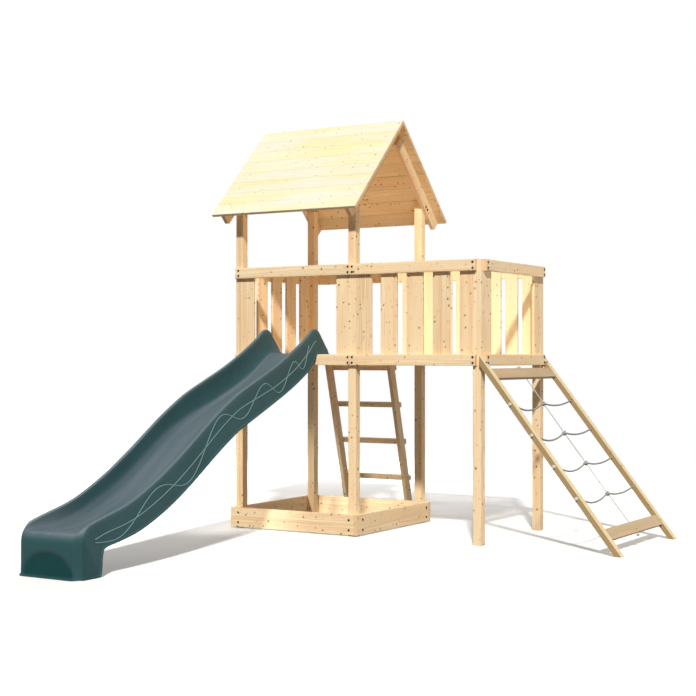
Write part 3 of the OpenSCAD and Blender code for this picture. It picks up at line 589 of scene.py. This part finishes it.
def slide_surface(rows, settings):
    """Skin of the slide from rows (s) and across (t): flat bed, an arc up to the rim, a half-round rim, a
    skirt down to the hem and a thin lip, mirrored about the middle. With it, how worn its bed is, how far
    its rims take wear, painted sheen and a painted highlight, and how far each point takes painted shade
    in the recess, on the front face and on the lip."""
    bed, rim, hem = (rows[:, None, 2 * i:2 * i + 2] for i in range(3))
    along = rows[:, :1]
    w = slide_half_width(rows[:, 2])[:, None]
    wi = w - RIM_WIDTH
    wb = wi - ARC_REACH
    lift = np.interp(rows[:, 2], *RIM_LIFT)[:, None]
    turn = EDGE_TURN * rise(along, *TURN_AT)
    ones = np.ones_like(w)
    flat = np.linspace(0, 1, FLAT_POINTS)[None, :-1]
    arc = np.linspace(0, math.pi / 2, ARC_POINTS)[None, :]
    roll = np.linspace(0, math.pi, ROLL_POINTS)[None, 1:]
    drop = np.linspace(0, 1, SKIRT_POINTS)[None, 1:]
    up = ((1 - np.cos(arc)) ** ARC_POWER)[..., None]
    side_roll = np.repeat(rim, roll.shape[1], axis=1)
    side_roll[..., 0] -= turn * (1 - np.cos(roll)) / 2
    side_roll[..., 1] += lift * np.sin(roll)
    edge = side_roll[:, -1:]
    side = [
        np.repeat(bed, flat.shape[1], axis=1),
        bed + (rim - bed) * up,
        side_roll,
        edge + (hem - edge) * drop[..., None],
        hem,
        hem,
    ]
    out = [
        wb * flat,
        wb + ARC_REACH * np.sin(arc),
        wi + RIM_WIDTH * (1 - np.cos(roll)) / 2,
        w + SKIRT_SPREAD * drop,
        w + LIP_SPREADS[0] * ones,
        w + LIP_SPREADS[1] * ones,
    ]
    strips = np.cumsum([part.shape[1] for part in out])
    side = np.concatenate(side, axis=1)
    x = np.concatenate(out, axis=1)
    z = side[..., 1]
    arch = np.clip(3 * (1 - (x / settings.arch_half) ** 2 - (z / settings.arch_height) ** 2), 0, 1)
    arch = arch ** 2 * (3 - 2 * arch) * rise(along, *FACE_AT) * rise(z, *ARCH_AT)
    d = side[..., 0] - ARCH_DEPTH * arch
    wear = slide_wear_and_shade(along, wb, x, strips, arch)
    points = [mirrored(x, -1) + SLIDE_X * MM_PER_M, -mirrored(d, 1), mirrored(z, 1)]
    wear = {name: mirrored(part, 1) for name, part in wear.items()}
    return np.stack(points, axis=-1) / MM_PER_M, wear


def slide_wear_and_shade(along, wb, x, strips, arch):
    """How strong three colours are at each point. Bed is the grey of the flat bed and, near the foot, of
    the walls too. Rim is a soft band of wear and painted sheen over the rims, with a fine painted
    highlight on their crests. Recess is painted shade in the arch, on the front face and on the lip."""
    _, arc_end, rim_end, skirt_end = strips[:4]
    column = np.arange(x.shape[1])
    bed = np.clip((wb + np.interp(along, *BED_SPREAD) - x) / BED_EDGE, 0, 1) * (column < arc_end)
    tread = np.interp(column, [arc_end + 4, arc_end + 12], [1, 0]) * np.interp(along, *TREAD_STARTS)
    bed = np.maximum(bed * np.interp(along, *BED_PALER), tread) * np.interp(along, *BED_ENDS)
    # Rims: a soft band of wear and painted sheen, and a fine painted highlight along the crests
    band = np.sin(np.interp(column, [arc_end - 3, rim_end + 1], [0, math.pi]))
    crest = np.exp(-((column - arc_end - 2) / CREST_HIGHLIGHT_WIDTH) ** 2) * np.interp(along, *CREST_HIGHLIGHT_GROWS)
    rim = np.maximum(RIM_WEAR_AND_SHEEN * band, crest) * np.interp(along, *RIM_ENDS)
    # Painted shade on the front face and on the lip
    painted_shade = np.maximum(FACE_SHADE * rise(along, *FACE_SHADE_AT), LIP_SHADE * (column > skirt_end))
    return {"bed": bed, "rim": rim, "recess": np.maximum(arch, painted_shade)}


def slide_wall_path(d, share, side):
    """Points on the slide's outer wall at distances out and a share of the way from the rim to the hem."""
    rim = smooth_curve(RIM + RIM_ON, d)
    hem = smooth_curve(HEM + HEM_ON, d)
    x = SLIDE_X * MM_PER_M + side * (slide_half_width(d) + SKIRT_SPREAD * share)
    return np.stack([x, -d, rim + (hem - rim) * share], axis=1) / MM_PER_M


def across_path(path, guide):
    """Two unit vectors across a path at each of its points, the first square to a guide direction."""
    along = np.gradient(path, axis=0)
    along /= np.linalg.norm(along, axis=1, keepdims=True)
    first = np.cross(along, guide)
    first /= np.linalg.norm(first, axis=1, keepdims=True)
    return first, np.cross(along, first)


def laid_rope(path, radius, lay, sides=24):
    """Skin of a three-strand rope along a path: at length s and angle a the radius has three round lobes
    that turn once in each lay, and both ends close to a point. With it, each point's place in the yarn, the
    two end points and the rope's length."""
    first, second = across_path(path, ROPE_GUIDE)
    length = np.concatenate([[0], np.cumsum(np.linalg.norm(np.diff(path, axis=0), axis=1))])
    angle = np.arange(sides) * 2 * math.pi / sides
    twisted = angle[None, :] - (2 * math.pi * length / lay)[:, None]
    lobes = ROPE_WAIST + (1 - ROPE_WAIST) * np.abs(np.cos(STRANDS / 2 * twisted)) ** STRAND_POWER
    to_end = np.minimum(length, length[-1] - length)
    swell = np.minimum(1, 0.02 + to_end / (END_LENGTH * radius))[:, None] ** 0.5
    r = radius * lobes * swell
    ring = np.cos(angle)[None, :, None] * first[:, None] + np.sin(angle)[None, :, None] * second[:, None]
    points = path[:, None] + r[..., None] * ring
    yarn = np.stack([radius * np.cos(twisted), radius * np.sin(twisted),
                     np.repeat(length[:, None], sides, axis=1)], axis=-1)
    return points, yarn, path[[0, -1]], length[-1]


def joined_ropes(name, ropes, material, body):
    """One piece from several ropes: closed skins with their yarn places and how fresh each rope is."""
    points, faces, yarns, fresh = [], [], [], []
    start = 0
    for (skin, yarn, ends, _), clean in ropes:
        rows, sides = skin.shape[:2]
        count = rows * sides
        wall = grid_faces(rows, sides, closed=True)[:, ::-1]
        around = np.arange(sides)
        onward = (around + 1) % sides
        last = count - sides
        head = np.stack([np.full(sides, count), around, onward], axis=1)
        tail = np.stack([np.full(sides, count + 1), last + onward, last + around], axis=1)
        caps = np.concatenate([head, tail])[:, ::-1]
        points.append(np.concatenate([skin.reshape(-1, 3), ends]))
        yarns.append(np.concatenate([yarn.reshape(-1, 3), np.zeros((2, 3))]))
        fresh.append(np.full(count + 2, clean))
        faces += (wall + start).tolist() + (caps + start).tolist()
        start += count + 2
    obj = make_piece(name, np.concatenate(points), faces, material, body)
    write_attribute(obj, "yarn", np.concatenate(yarns), "FLOAT_VECTOR")
    write_attribute(obj, "fresh", np.concatenate(fresh))
    return obj


def hitch_paths(centre, axis, side, radius, rope):
    """Two turns of rope wound round an axis and one turn that crosses over them aslant."""
    axis = np.array(axis) / np.linalg.norm(axis)
    first = np.array(side) - axis * np.dot(side, axis)
    first /= np.linalg.norm(first)
    second = np.cross(axis, first)
    coil = radius - rope
    t = np.linspace(0, 1, HITCH_POINTS)[:, None]
    turn = 2 * math.pi * HITCH_TURNS * t
    wound = centre + axis * rope * HITCH_PITCH * (t - 0.5) * 2
    wound = wound + coil * (first * np.cos(turn) + second * np.sin(turn))
    over = 2 * math.pi * t
    slant = centre + (coil + HITCH_RISE) * (first * np.cos(over) + second * np.sin(over))
    slant = slant + axis * rope * HITCH_SLANT * np.sin(over)
    return [wound, slant]


def hitch(centre, axis, side, radius, rope, lay, fresh):
    """The ropes of one hitch with how fresh their fibre is."""
    turns = hitch_paths(centre, axis, side, radius, rope)
    return [(laid_rope(turn, rope, lay, TURN_SIDES), fresh) for turn in turns]


def ramp_point(s, y):
    """A point on the ramp's middle plane at a distance down the slope."""
    start = np.array([RAMP_TOP[0], 0.0, RAMP_TOP[1]])
    return start + RAMP_DOWN * s + np.array([0.0, y, 0.0])


def colour_setting(name, description, default):
    """A setting for a display colour."""
    return FloatVectorProperty(name=name, description=description, subtype="COLOR_GAMMA", default=default)


def length_setting(name, description, default):
    """A setting for a length in metres."""
    return FloatProperty(name=name, description=description, unit="LENGTH", default=default)


def share_setting(name, description, default):
    """A setting for a share from 0 to 1."""
    return FloatProperty(name=name, description=description, subtype="FACTOR", default=default)


def angle_setting(name, description, degrees):
    """A setting for an angle."""
    turn = math.radians(degrees)
    return FloatProperty(name=name, description=description, subtype="ANGLE", default=turn)


def number_setting(name, description, default):
    """A setting for a plain number."""
    return FloatProperty(name=name, description=description, default=default)


class TimberSettings(bpy.types.PropertyGroup):
    """Colours and figure of the timber."""
    light: colour_setting("Light", "Early wood of the frame", (0.990, 0.908, 0.762))
    warm: colour_setting("Warm", "Warmer patches of the frame", (0.964, 0.848, 0.668))
    ramp_light: colour_setting("Ramp light", "Early wood of the ramp", (0.905, 0.865, 0.725))
    ramp_warm: colour_setting("Ramp warm", "Warmer patches of the ramp", (0.830, 0.775, 0.610))
    board_light: colour_setting("Cross board light", "Early wood of the ramp's cross boards",
                                (0.720, 0.675, 0.565))
    board_warm: colour_setting("Cross board warm", "Warmer patches of the cross boards",
                               (0.655, 0.580, 0.457))
    # The roof and slat colours below are painted sunlight, laid only on faces towards the sun
    roof_sunlit_light: colour_setting("Roof light", "Early wood of the roof", (0.925, 0.920, 0.850))
    roof_sunlit_warm: colour_setting("Roof warm", "Warmer patches of the roof", (0.925, 0.905, 0.700))
    slat_sunlit_light: colour_setting("Slat light", "Early wood of the back slats' inner faces",
                               (0.905, 0.850, 0.715))
    slat_sunlit_warm: colour_setting("Slat warm", "Warmer patches of the back slats' inner faces",
                              (0.895, 0.825, 0.645))
    # Painted shade laid on the narrow sawn faces of the ramp's timber
    sawn: colour_setting("Sawn edges", "Sawn edges of the ramp's timber", (0.560, 0.430, 0.250))
    latewood: colour_setting("Late wood", "Late wood and end grain", (0.835, 0.640, 0.420))
    heartwood: colour_setting("Heartwood", "Streaks of heartwood along the boards", (0.950, 0.755, 0.585))
    heart_strength: share_setting("Heart strength", "How far heartwood takes its own colour", 0.50)
    knot_colour: colour_setting("Knots", "Colour of the knots", (0.260, 0.155, 0.085))
    knot_spacing: length_setting("Knot spacing", "Usual distance between branches in the wood", 0.038)
    knot_size: length_setting("Knot size", "Radius of the largest knots", 0.0058)
    ring_spacing: length_setting("Ring spacing", "Width of one year's growth", 0.006)
    ring_strength: share_setting("Ring strength", "How far late wood takes its own colour", 0.42)
    board_variation: share_setting("Board variation", "Spread of brightness between boards", 0.07)
    pith_distance: length_setting("Pith distance", "How far from a board its tree's middle lay", 0.06)
    # Each sets how weathered the timber is and how strong the painted shade on its narrow sawn faces is
    ramp_wear_and_edge_shade: share_setting("Ramp wear", "How weathered the ramp's beams are", 0.75)
    board_wear_and_edge_shade: share_setting("Cross board wear", "How weathered the ramp's cross boards are", 0.6)


class SlideSettings(bpy.types.PropertyGroup):
    """Shape and colours of the slide."""
    wall: length_setting("Wall", "Thickness of the moulded shell", 0.005)
    arch_half: number_setting("Arch half width", "Half width of the foot's recess, millimetres", 208.0)
    arch_height: number_setting("Arch height", "Height of the foot's recess, millimetres", 160.0)
    wave_start: number_setting("Wave start", "Where the wave's first whole crest is, millimetres", 345.0)
    wave_growth: number_setting("Wave growth", "How much longer each half wave is, millimetres", 17.5)
    bead: length_setting("Bead", "Half width of the raised lines", 0.0034)
    plastic: colour_setting("Plastic", "Colour of the shell", (0.205, 0.325, 0.343))
    worn_bed: colour_setting("Worn bed", "Colour of the sliding bed", (0.385, 0.437, 0.470))
    # Paler rims: wear, with a painted sheen and a painted highlight on the crests
    worn_rim_and_highlight: colour_setting("Worn rim", "Colour of the worn rims", (0.500, 0.560, 0.585))
    line_colour: colour_setting("Lines", "Colour of the lines on the walls", (0.430, 0.570, 0.575))
    # Painted shade: colour of the foot's recess, also laid on the front face and on the lip
    recess_shade_colour: colour_setting("Recess", "Colour of the foot's recess", (0.005, 0.212, 0.215))


class RopeSettings(bpy.types.PropertyGroup):
    """Sizes and colours of the ropes."""
    diameter: length_setting("Diameter", "Thickness of the rope", 0.012)
    middle: length_setting("Middle rope", "Thickness of the rope down the middle", 0.007)
    lay: length_setting("Lay", "Length of one turn of the strands", 0.042)
    first: length_setting("First rope", "Distance down the ramp of the highest cross rope", 0.357)
    pitch: length_setting("Rope pitch", "Distance between cross ropes", 0.245)
    count: IntProperty(name="Cross ropes", description="Number of cross ropes", default=4)
    sag_front: length_setting("Front sag", "Sag of each front half", 0.042)
    sag_back: length_setting("Back sag", "Sag of each back half", 0.022)
    knot_radius: length_setting("Knot radius", "Outer radius of a knot", 0.015)
    stopper_radius: length_setting("Stopper radius", "Outer radius of the knots at rope ends", 0.011)
    knot_drop: length_setting("Knot drop", "How far the knots hang below the holes", 0.010)
    rope_dark: colour_setting("Rope dark", "Colour between the yarns", (0.450, 0.450, 0.435))
    rope_light: colour_setting("Rope light", "Colour of the yarns", (0.700, 0.700, 0.680))
    rope_end: colour_setting("Rope ends", "Colour of the fresh cut ends", (0.900, 0.890, 0.860))


class ScrewSettings(bpy.types.PropertyGroup):
    """Colours of the screws."""
    coating: colour_setting("Coating", "Black coating", (0.105, 0.095, 0.090))
    steel: colour_setting("Steel", "Steel where the coating is worn", (0.380, 0.370, 0.360))
    smooth: angle_setting("Smooth below", "Edges flatter than this are smooth", 40)


class StageSettings(bpy.types.PropertyGroup):
    """Camera, lamps and floor."""
    eye: FloatVectorProperty(name="Eye", description="Place of the camera", subtype="TRANSLATION",
                             unit="LENGTH", default=(5.019, -8.316, 1.230))
    gaze: FloatVectorProperty(name="Gaze", description="Direction of the camera", subtype="DIRECTION",
                              default=(-0.5204, 0.8539, 0.0024))
    lens: number_setting("Lens", "Focal length in millimetres on a 36 mm sensor", 73.17)
    shift: number_setting("Shift", "Shift of the picture upwards", 0.0074)
    sun_from: FloatVectorProperty(name="Sun from", description="Direction towards the key light",
                                  subtype="DIRECTION", default=(0.37, -0.685, 0.63))
    sun_power: number_setting("Sun power", "Strength of the key light", 3.7)
    sun_size: angle_setting("Sun size", "Width of the key light in the sky", 3.5)
    ambient: number_setting("Ambient", "Strength of the light from all round", 0.17)
    floor_pale: share_setting("Floor", "Paleness of the floor as it is seen", 0.93)
    floor_glow: share_setting("Floor glow", "How much whiter the floor is seen", 0.16)
    floor_bounce: share_setting("Floor bounce", "Paleness of the floor for reflected light", 0.25)
    side_power: number_setting("Side power", "Watts of the soft panel on the right", 60.0)
    back_power: number_setting("Back power", "Watts of the soft panel behind", 320.0)
    fill_power: number_setting("Fill power", "Watts of the soft lamp under the roof", 1.4)
    slat_power: number_setting("Slat lamp power", "Watts of the lamp behind the front slats", 2.5)
    slide_power: number_setting("Slide lamp power", "Watts of the lamp beside the slide", 300.0)


class CLIMBING_OT_timber(bpy.types.Operator):
    """Dress every board, post and beam as sawn softwood with its own run of grain"""
    bl_idname = "climbing_frame.timber"
    bl_label = "Timber"

    def execute(self, context):
        settings = context.scene.climbing_timber
        plain = (settings, settings.light, settings.warm)
        slots = {
            "spruce": timber_finish("Spruce", *plain),
            "ramp_timber": timber_finish("Ramp timber", settings, settings.ramp_light, settings.ramp_warm,
                                         settings.ramp_wear_and_edge_shade),
        }
        # The roof and the back slats get painted sunlight on their faces towards the sun
        nodes = {
            "ramp_boards": timber_finish("Ramp boards", settings, settings.board_light, settings.board_warm,
                                         settings.board_wear_and_edge_shade),
            "roof": timber_finish("Roof spruce", *plain, pale=(settings.roof_sunlit_light, settings.roof_sunlit_warm)),
            "slats_back": timber_finish("Slat spruce", *plain,
                                        pale=(settings.slat_sunlit_light, settings.slat_sunlit_warm)),
        }
        for node, slot in SLOTS.items():
            if slot in slots:
                own = (finish for start, finish in nodes.items() if node.startswith(start))
                self.dress(node, next(own, slots[slot]), settings)
        return {"FINISHED"}

    def dress(self, node, finish, settings):
        """A copy of a timber node with the grain of each of its boards."""
        obj, points, triangles = smooth_copy(node, "timber_" + node, finish, BOARD_SHARP)
        grain, tone, end, side, sunny = board_grain(node, points, triangles, settings.pith_distance)
        write_attribute(obj, "grain", grain, "FLOAT_VECTOR")
        write_attribute(obj, "tone", tone)
        for name, values in (("end", end), ("side", side), ("sunny", sunny)):
            write_attribute(obj, name, values, domain="FACE")


class CLIMBING_OT_screws(bpy.types.Operator):
    """Give the screws their black coating"""
    bl_idname = "climbing_frame.screws"
    bl_label = "Screws"

    def execute(self, context):
        settings = context.scene.climbing_screws
        material = screw_finish("Black screws", settings)
        for node, slot in SLOTS.items():
            if slot == "screw_black":
                smooth_copy(node, "coated_" + node, material, settings.smooth)
        return {"FINISHED"}


class CLIMBING_OT_slide(bpy.types.Operator):
    """Make the moulded wave slide with its foot recess and the raised lines on its walls"""
    bl_idname = "climbing_frame.slide"
    bl_label = "Slide"

    def execute(self, context):
        settings = context.scene.climbing_slide
        material = plastic_finish("Slide plastic", settings)
        points, wear = slide_surface(slide_rows(), settings)
        faces = grid_faces(*points.shape[:2]).tolist()
        shell = make_piece("slide_shell", points.reshape(-1, 3), faces, material)
        for name, values in wear.items():
            write_attribute(shell, name, values)
        thick = shell.modifiers.new("Wall", "SOLIDIFY")
        thick.thickness = settings.wall
        thick.offset = -1
        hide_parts("slide")
        self.raised_lines(settings, material)
        return {"FINISHED"}

    def raised_lines(self, settings, material):
        """Half-round beads on both outer walls: one along the middle and a regular wave across it."""
        line = np.arange(*LINE_SPAN)
        curl = np.arange(*WAVE_SPAN)
        turns = np.sqrt(WAVE_TURN ** 2 + (curl - settings.wave_start) / settings.wave_growth) - WAVE_TURN
        wave = smooth_curve(LINE, curl) - np.interp(curl, *WAVE_HEIGHT) * np.cos(math.pi * turns)
        angle = np.arange(BEAD_SIDES) * 2 * math.pi / BEAD_SIDES
        points, faces = [], []
        start = 0
        for side in (-1, 1):
            out = np.array([side, 0.0, WALL_LEAN])
            for d, share in ((line, smooth_curve(LINE, line)), (curl, wave)):
                path = slide_wall_path(d, share, side)
                across, _ = across_path(path, out)
                ring = path[:, None] + settings.bead * np.cos(angle)[None, :, None] * across[:, None]
                ring = ring + BEAD_HEIGHT * settings.bead * np.sin(angle)[None, :, None] * out
                points.append(ring.reshape(-1, 3))
                faces.append(grid_faces(len(d), BEAD_SIDES, closed=True)[:, ::-1] + start)
                start += len(d) * BEAD_SIDES
        points = np.concatenate(points)
        faces = np.concatenate(faces).tolist()
        lines = make_piece("slide_lines", points, faces, material)
        write_attribute(lines, "line", np.ones(start))


class CLIMBING_OT_ropes(bpy.types.Operator):
    """Make the ropes of the ramp: four cross ropes in halves, the middle rope, and their knots"""
    bl_idname = "climbing_frame.ropes"
    bl_label = "Ropes"

    def execute(self, context):
        settings = context.scene.climbing_ropes
        material = rope_finish("Rope", settings)
        stations = [settings.first + i * settings.pitch for i in range(settings.count)]
        drop = np.array([0.0, 0.0, -settings.knot_drop])
        knots = [ramp_point(s, MID_Y) + drop for s in stations]
        for i, station in enumerate(stations):
            for side in RAMP_SIDES:
                self.half(side, i + 1, station, knots[i], settings, material)
        self.middle(knots, settings, material)
        self.stoppers(stations, settings, material)
        return {"FINISHED"}

    def half(self, side, number, station, knot, settings, material):
        """A half of a cross rope that sags from its beam to the middle knot."""
        node = f"rope_{number}_{side}"
        sign, _, _, first = RAMP_SIDES[side]
        start = ramp_point(station, first)
        end = knot + np.array([0.0, sign * (settings.knot_radius + ROPE_GAP), 0.0])
        sag = getattr(settings, "sag_" + side)
        u = np.linspace(0, 1, HALF_POINTS)[:, None]
        path = start + (end - start) * u - np.array([0.0, 0.0, 4 * sag]) * u * (1 - u)
        rope = laid_rope(path, settings.diameter / 2, settings.lay)
        obj = joined_ropes("laid_" + node, [(rope, 0.0)], material, node)
        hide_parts(node)

    def middle(self, knots, settings, material):
        """The rope down the middle of the ramp with the hitches at the crossings and at both ends."""
        top = ramp_point(MIDDLE_START, MID_Y)
        low = ramp_point(MIDDLE_END, MID_Y)
        corners = np.array([top, *knots, low])
        gaps = np.linalg.norm(np.diff(corners, axis=0), axis=1)
        reach = np.concatenate([[0], np.cumsum(gaps)])
        at = np.arange(0, reach[-1], MIDDLE_STEP)
        path = np.stack([np.interp(at, reach, corners[:, k]) for k in range(3)], axis=1)
        rope = laid_rope(path, settings.middle / 2, settings.lay * MIDDLE_LAY)
        obj = joined_ropes("laid_rope_centre", [(rope, FRESH_MIDDLE)], material, "frame")
        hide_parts("rope_centre")
        side = (0.0, 1.0, 0.0)
        thin = settings.diameter * KNOT_THIN
        slim = settings.middle * MIDDLE_THIN
        ropes = []
        for knot in knots:
            ropes += hitch(knot, RAMP_DOWN, side, settings.knot_radius, thin, settings.lay, FRESH_KNOT)
        for end in (top - RAMP_DOWN * HITCH_OUT, low + RAMP_DOWN * HITCH_OUT):
            ropes += hitch(end, RAMP_DOWN, side, settings.stopper_radius, slim, settings.lay, FRESH_END)
        joined_ropes("rope_hitches", ropes, material, "frame")

    def stoppers(self, stations, settings, material):
        """A stopper knot on the outside of a beam at each rope, and the rope through the beam behind it."""
        side = (1.0, 0.0, 0.0)
        thin = settings.diameter * STOPPER_THIN
        ropes = []
        for station in stations:
            for sign, outer, inner, _ in RAMP_SIDES.values():
                stub_end = ramp_point(station, outer + sign * STUB_OUT)
                stub = np.linspace(ramp_point(station, inner), stub_end, STUB_POINTS)
                ropes.append((laid_rope(stub, settings.diameter / 2, settings.lay, STUB_SIDES), 1.0))
                centre = ramp_point(station, outer + sign * HITCH_OUT)
                ropes += hitch(centre, (0, sign, 0), side, settings.stopper_radius, thin, settings.lay,
                               FRESH_STOPPER)
        obj = joined_ropes("rope_stoppers", ropes, material, "frame")
        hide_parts("rope_ends")


class CLIMBING_OT_stage(bpy.types.Operator):
    """Set up the camera, the key light, the soft light all round and the pale floor"""
    bl_idname = "climbing_frame.stage"
    bl_label = "Stage"

    def execute(self, context):
        scene = context.scene
        settings = scene.climbing_stage
        self.camera(scene, settings)
        self.sun(scene, settings)
        for name, power, size, place, aim, colour in PANELS:
            self.panel(scene, name, getattr(settings, power), size, place, aim, colour)
        self.cone(scene, settings)
        self.world(scene, settings)
        self.floor(scene, settings)
        scene.view_settings.view_transform = "Standard"
        return {"FINISHED"}

    def camera(self, scene, settings):
        """A level camera fitted to the photo's edges."""
        data = bpy.data.cameras.new("Camera")
        data.lens = settings.lens
        data.sensor_width = 36
        data.shift_y = settings.shift
        data.clip_end = 200
        camera = bpy.data.objects.new("Camera", data)
        camera.location = settings.eye
        camera.rotation_euler = Vector(settings.gaze).to_track_quat("-Z", "Y").to_euler()
        scene.collection.objects.link(camera)
        scene.camera = camera

    def sun(self, scene, settings):
        """One sun from the front, a little to the right."""
        data = bpy.data.lights.new("Sun", "SUN")
        data.energy = settings.sun_power
        data.angle = settings.sun_size
        data.color = DAYLIGHT
        lamp = bpy.data.objects.new("Sun", data)
        lamp.rotation_euler = Vector(settings.sun_from).to_track_quat("Z", "Y").to_euler()
        scene.collection.objects.link(lamp)

    def panel(self, scene, name, power, size, place, aim, colour):
        """A soft flat lamp."""
        data = bpy.data.lights.new(name, "AREA")
        data.energy = power
        data.shape = "RECTANGLE"
        data.size, data.size_y = size
        data.color = colour
        self.hang(scene, data, place, aim)

    def cone(self, scene, settings):
        """A soft cone of light into the shadow that the slide throws on the timber."""
        data = bpy.data.lights.new("Slide lamp", "SPOT")
        data.energy = settings.slide_power
        data.spot_size = CONE_ANGLE
        data.spot_blend = CONE_BLEND
        data.shadow_soft_size = CONE_SIZE
        data.color = DAYLIGHT
        self.hang(scene, data, CONE_PLACE, CONE_AIM)

    def hang(self, scene, data, place, aim):
        """Puts a lamp at its place and turns it to its aim. The lamp itself isn't seen."""
        lamp = bpy.data.objects.new(data.name, data)
        lamp.location = place
        lamp.rotation_euler = (Vector(aim) - Vector(place)).to_track_quat("-Z", "Y").to_euler()
        lamp.visible_camera = False
        lamp.visible_glossy = False
        scene.collection.objects.link(lamp)

    def seen(self, tree):
        """1 for rays that the camera sees straight, in a reflection or through glass."""
        path = tree.nodes.new("ShaderNodeLightPath")
        value = path.outputs["Is Camera Ray"]
        for name in ("Is Glossy Ray", "Is Transmission Ray"):
            most = tree.nodes.new("ShaderNodeMath")
            most.operation = "MAXIMUM"
            tree.links.new(value, most.inputs[0])
            tree.links.new(path.outputs[name], most.inputs[1])
            value = most.outputs[0]
        return value

    def choose(self, tree, share, unseen, seen):
        """One value for light that bounces, another for what is seen."""
        pick = tree.nodes.new("ShaderNodeMapRange")
        tree.links.new(share, pick.inputs["Value"])
        pick.inputs["To Min"].default_value = unseen
        pick.inputs["To Max"].default_value = seen
        return pick.outputs[0]

    def world(self, scene, settings):
        """White where it is seen, and weaker as light."""
        world = bpy.data.worlds.new("Studio")
        world.use_nodes = True
        tree = world.node_tree
        background = tree.nodes["Background"]
        background.inputs["Color"].default_value = WHITE
        strength = self.choose(tree, self.seen(tree), settings.ambient, 1.0)
        tree.links.new(strength, background.inputs["Strength"])
        scene.world = world

    def floor(self, scene, settings):
        """A wide pale floor that keeps the shadow and turns white further out."""
        corners = [(-1, -1, 0), (1, -1, 0), (1, 1, 0), (-1, 1, 0)]
        mesh = bpy.data.meshes.new("Floor")
        mesh.from_pydata((np.array(corners) * FLOOR_HALF).tolist(), [], [(0, 1, 2, 3)])
        s = Shader("Floor")
        tree = s.tree
        seen = self.seen(tree)
        grey = self.choose(tree, seen, settings.floor_bounce, settings.floor_pale)
        tint = s.node("ShaderNodeCombineColor", {}, {0: grey, 1: grey, 2: grey}).outputs[0]
        matt = s.node("ShaderNodeBsdfDiffuse", {}, {"Color": tint})
        white = s.node("ShaderNodeEmission", {}, {"Color": WHITE, "Strength": seen})
        glow = self.choose(tree, seen, 0.0, settings.floor_glow)
        lift = s.node("ShaderNodeEmission", {}, {"Color": WHITE, "Strength": glow})
        pale = s.node("ShaderNodeAddShader", {}, {0: matt.outputs[0], 1: lift.outputs[0]})
        away = s.node("ShaderNodeVectorMath", {"operation": "LENGTH"}, {0: s.place()}).outputs["Value"]
        far = s.step(away, *FLOOR_FADE)
        blend = s.node("ShaderNodeMixShader", {}, {0: far, 1: pale.outputs[0], 2: white.outputs[0]})
        tree.links.new(blend.outputs[0], tree.nodes["Material Output"].inputs["Surface"])
        tree.nodes.remove(s.surface)
        mesh.materials.append(s.material)
        floor = bpy.data.objects.new("Floor", mesh)
        scene.collection.objects.link(floor)


class CLIMBING_PT_panel(bpy.types.Panel):
    """The steps that build the looks, in order"""
    bl_label = "Climbing frame"
    bl_idname = "CLIMBING_PT_panel"
    bl_space_type = "VIEW_3D"
    bl_region_type = "UI"
    bl_category = "Climbing frame"

    def draw(self, context):
        for operator in OPERATORS:
            self.layout.operator(operator.bl_idname)


OPERATORS = (
    CLIMBING_OT_stage,
    CLIMBING_OT_ropes,
    CLIMBING_OT_slide,
    CLIMBING_OT_timber,
    CLIMBING_OT_screws,
)
SETTINGS = {
    "climbing_timber": TimberSettings,
    "climbing_slide": SlideSettings,
    "climbing_ropes": RopeSettings,
    "climbing_screws": ScrewSettings,
    "climbing_stage": StageSettings,
}


def register():
    """Registers the settings, the operators and the panel."""
    for name, group in SETTINGS.items():
        bpy.utils.register_class(group)
        setattr(bpy.types.Scene, name, PointerProperty(type=group))
    for operator in OPERATORS:
        bpy.utils.register_class(operator)
    bpy.utils.register_class(CLIMBING_PT_panel)


def unregister():
    """Removes what register added."""
    bpy.utils.unregister_class(CLIMBING_PT_panel)
    for operator in OPERATORS:
        bpy.utils.unregister_class(operator)
    for name, group in SETTINGS.items():
        delattr(bpy.types.Scene, name)
        bpy.utils.unregister_class(group)


def main():
    register()
    bpy.ops.climbing_frame.stage()
    bpy.ops.climbing_frame.ropes()
    bpy.ops.climbing_frame.slide()
    bpy.ops.climbing_frame.timber()
    bpy.ops.climbing_frame.screws()


if __name__ == "__main__":
    main()
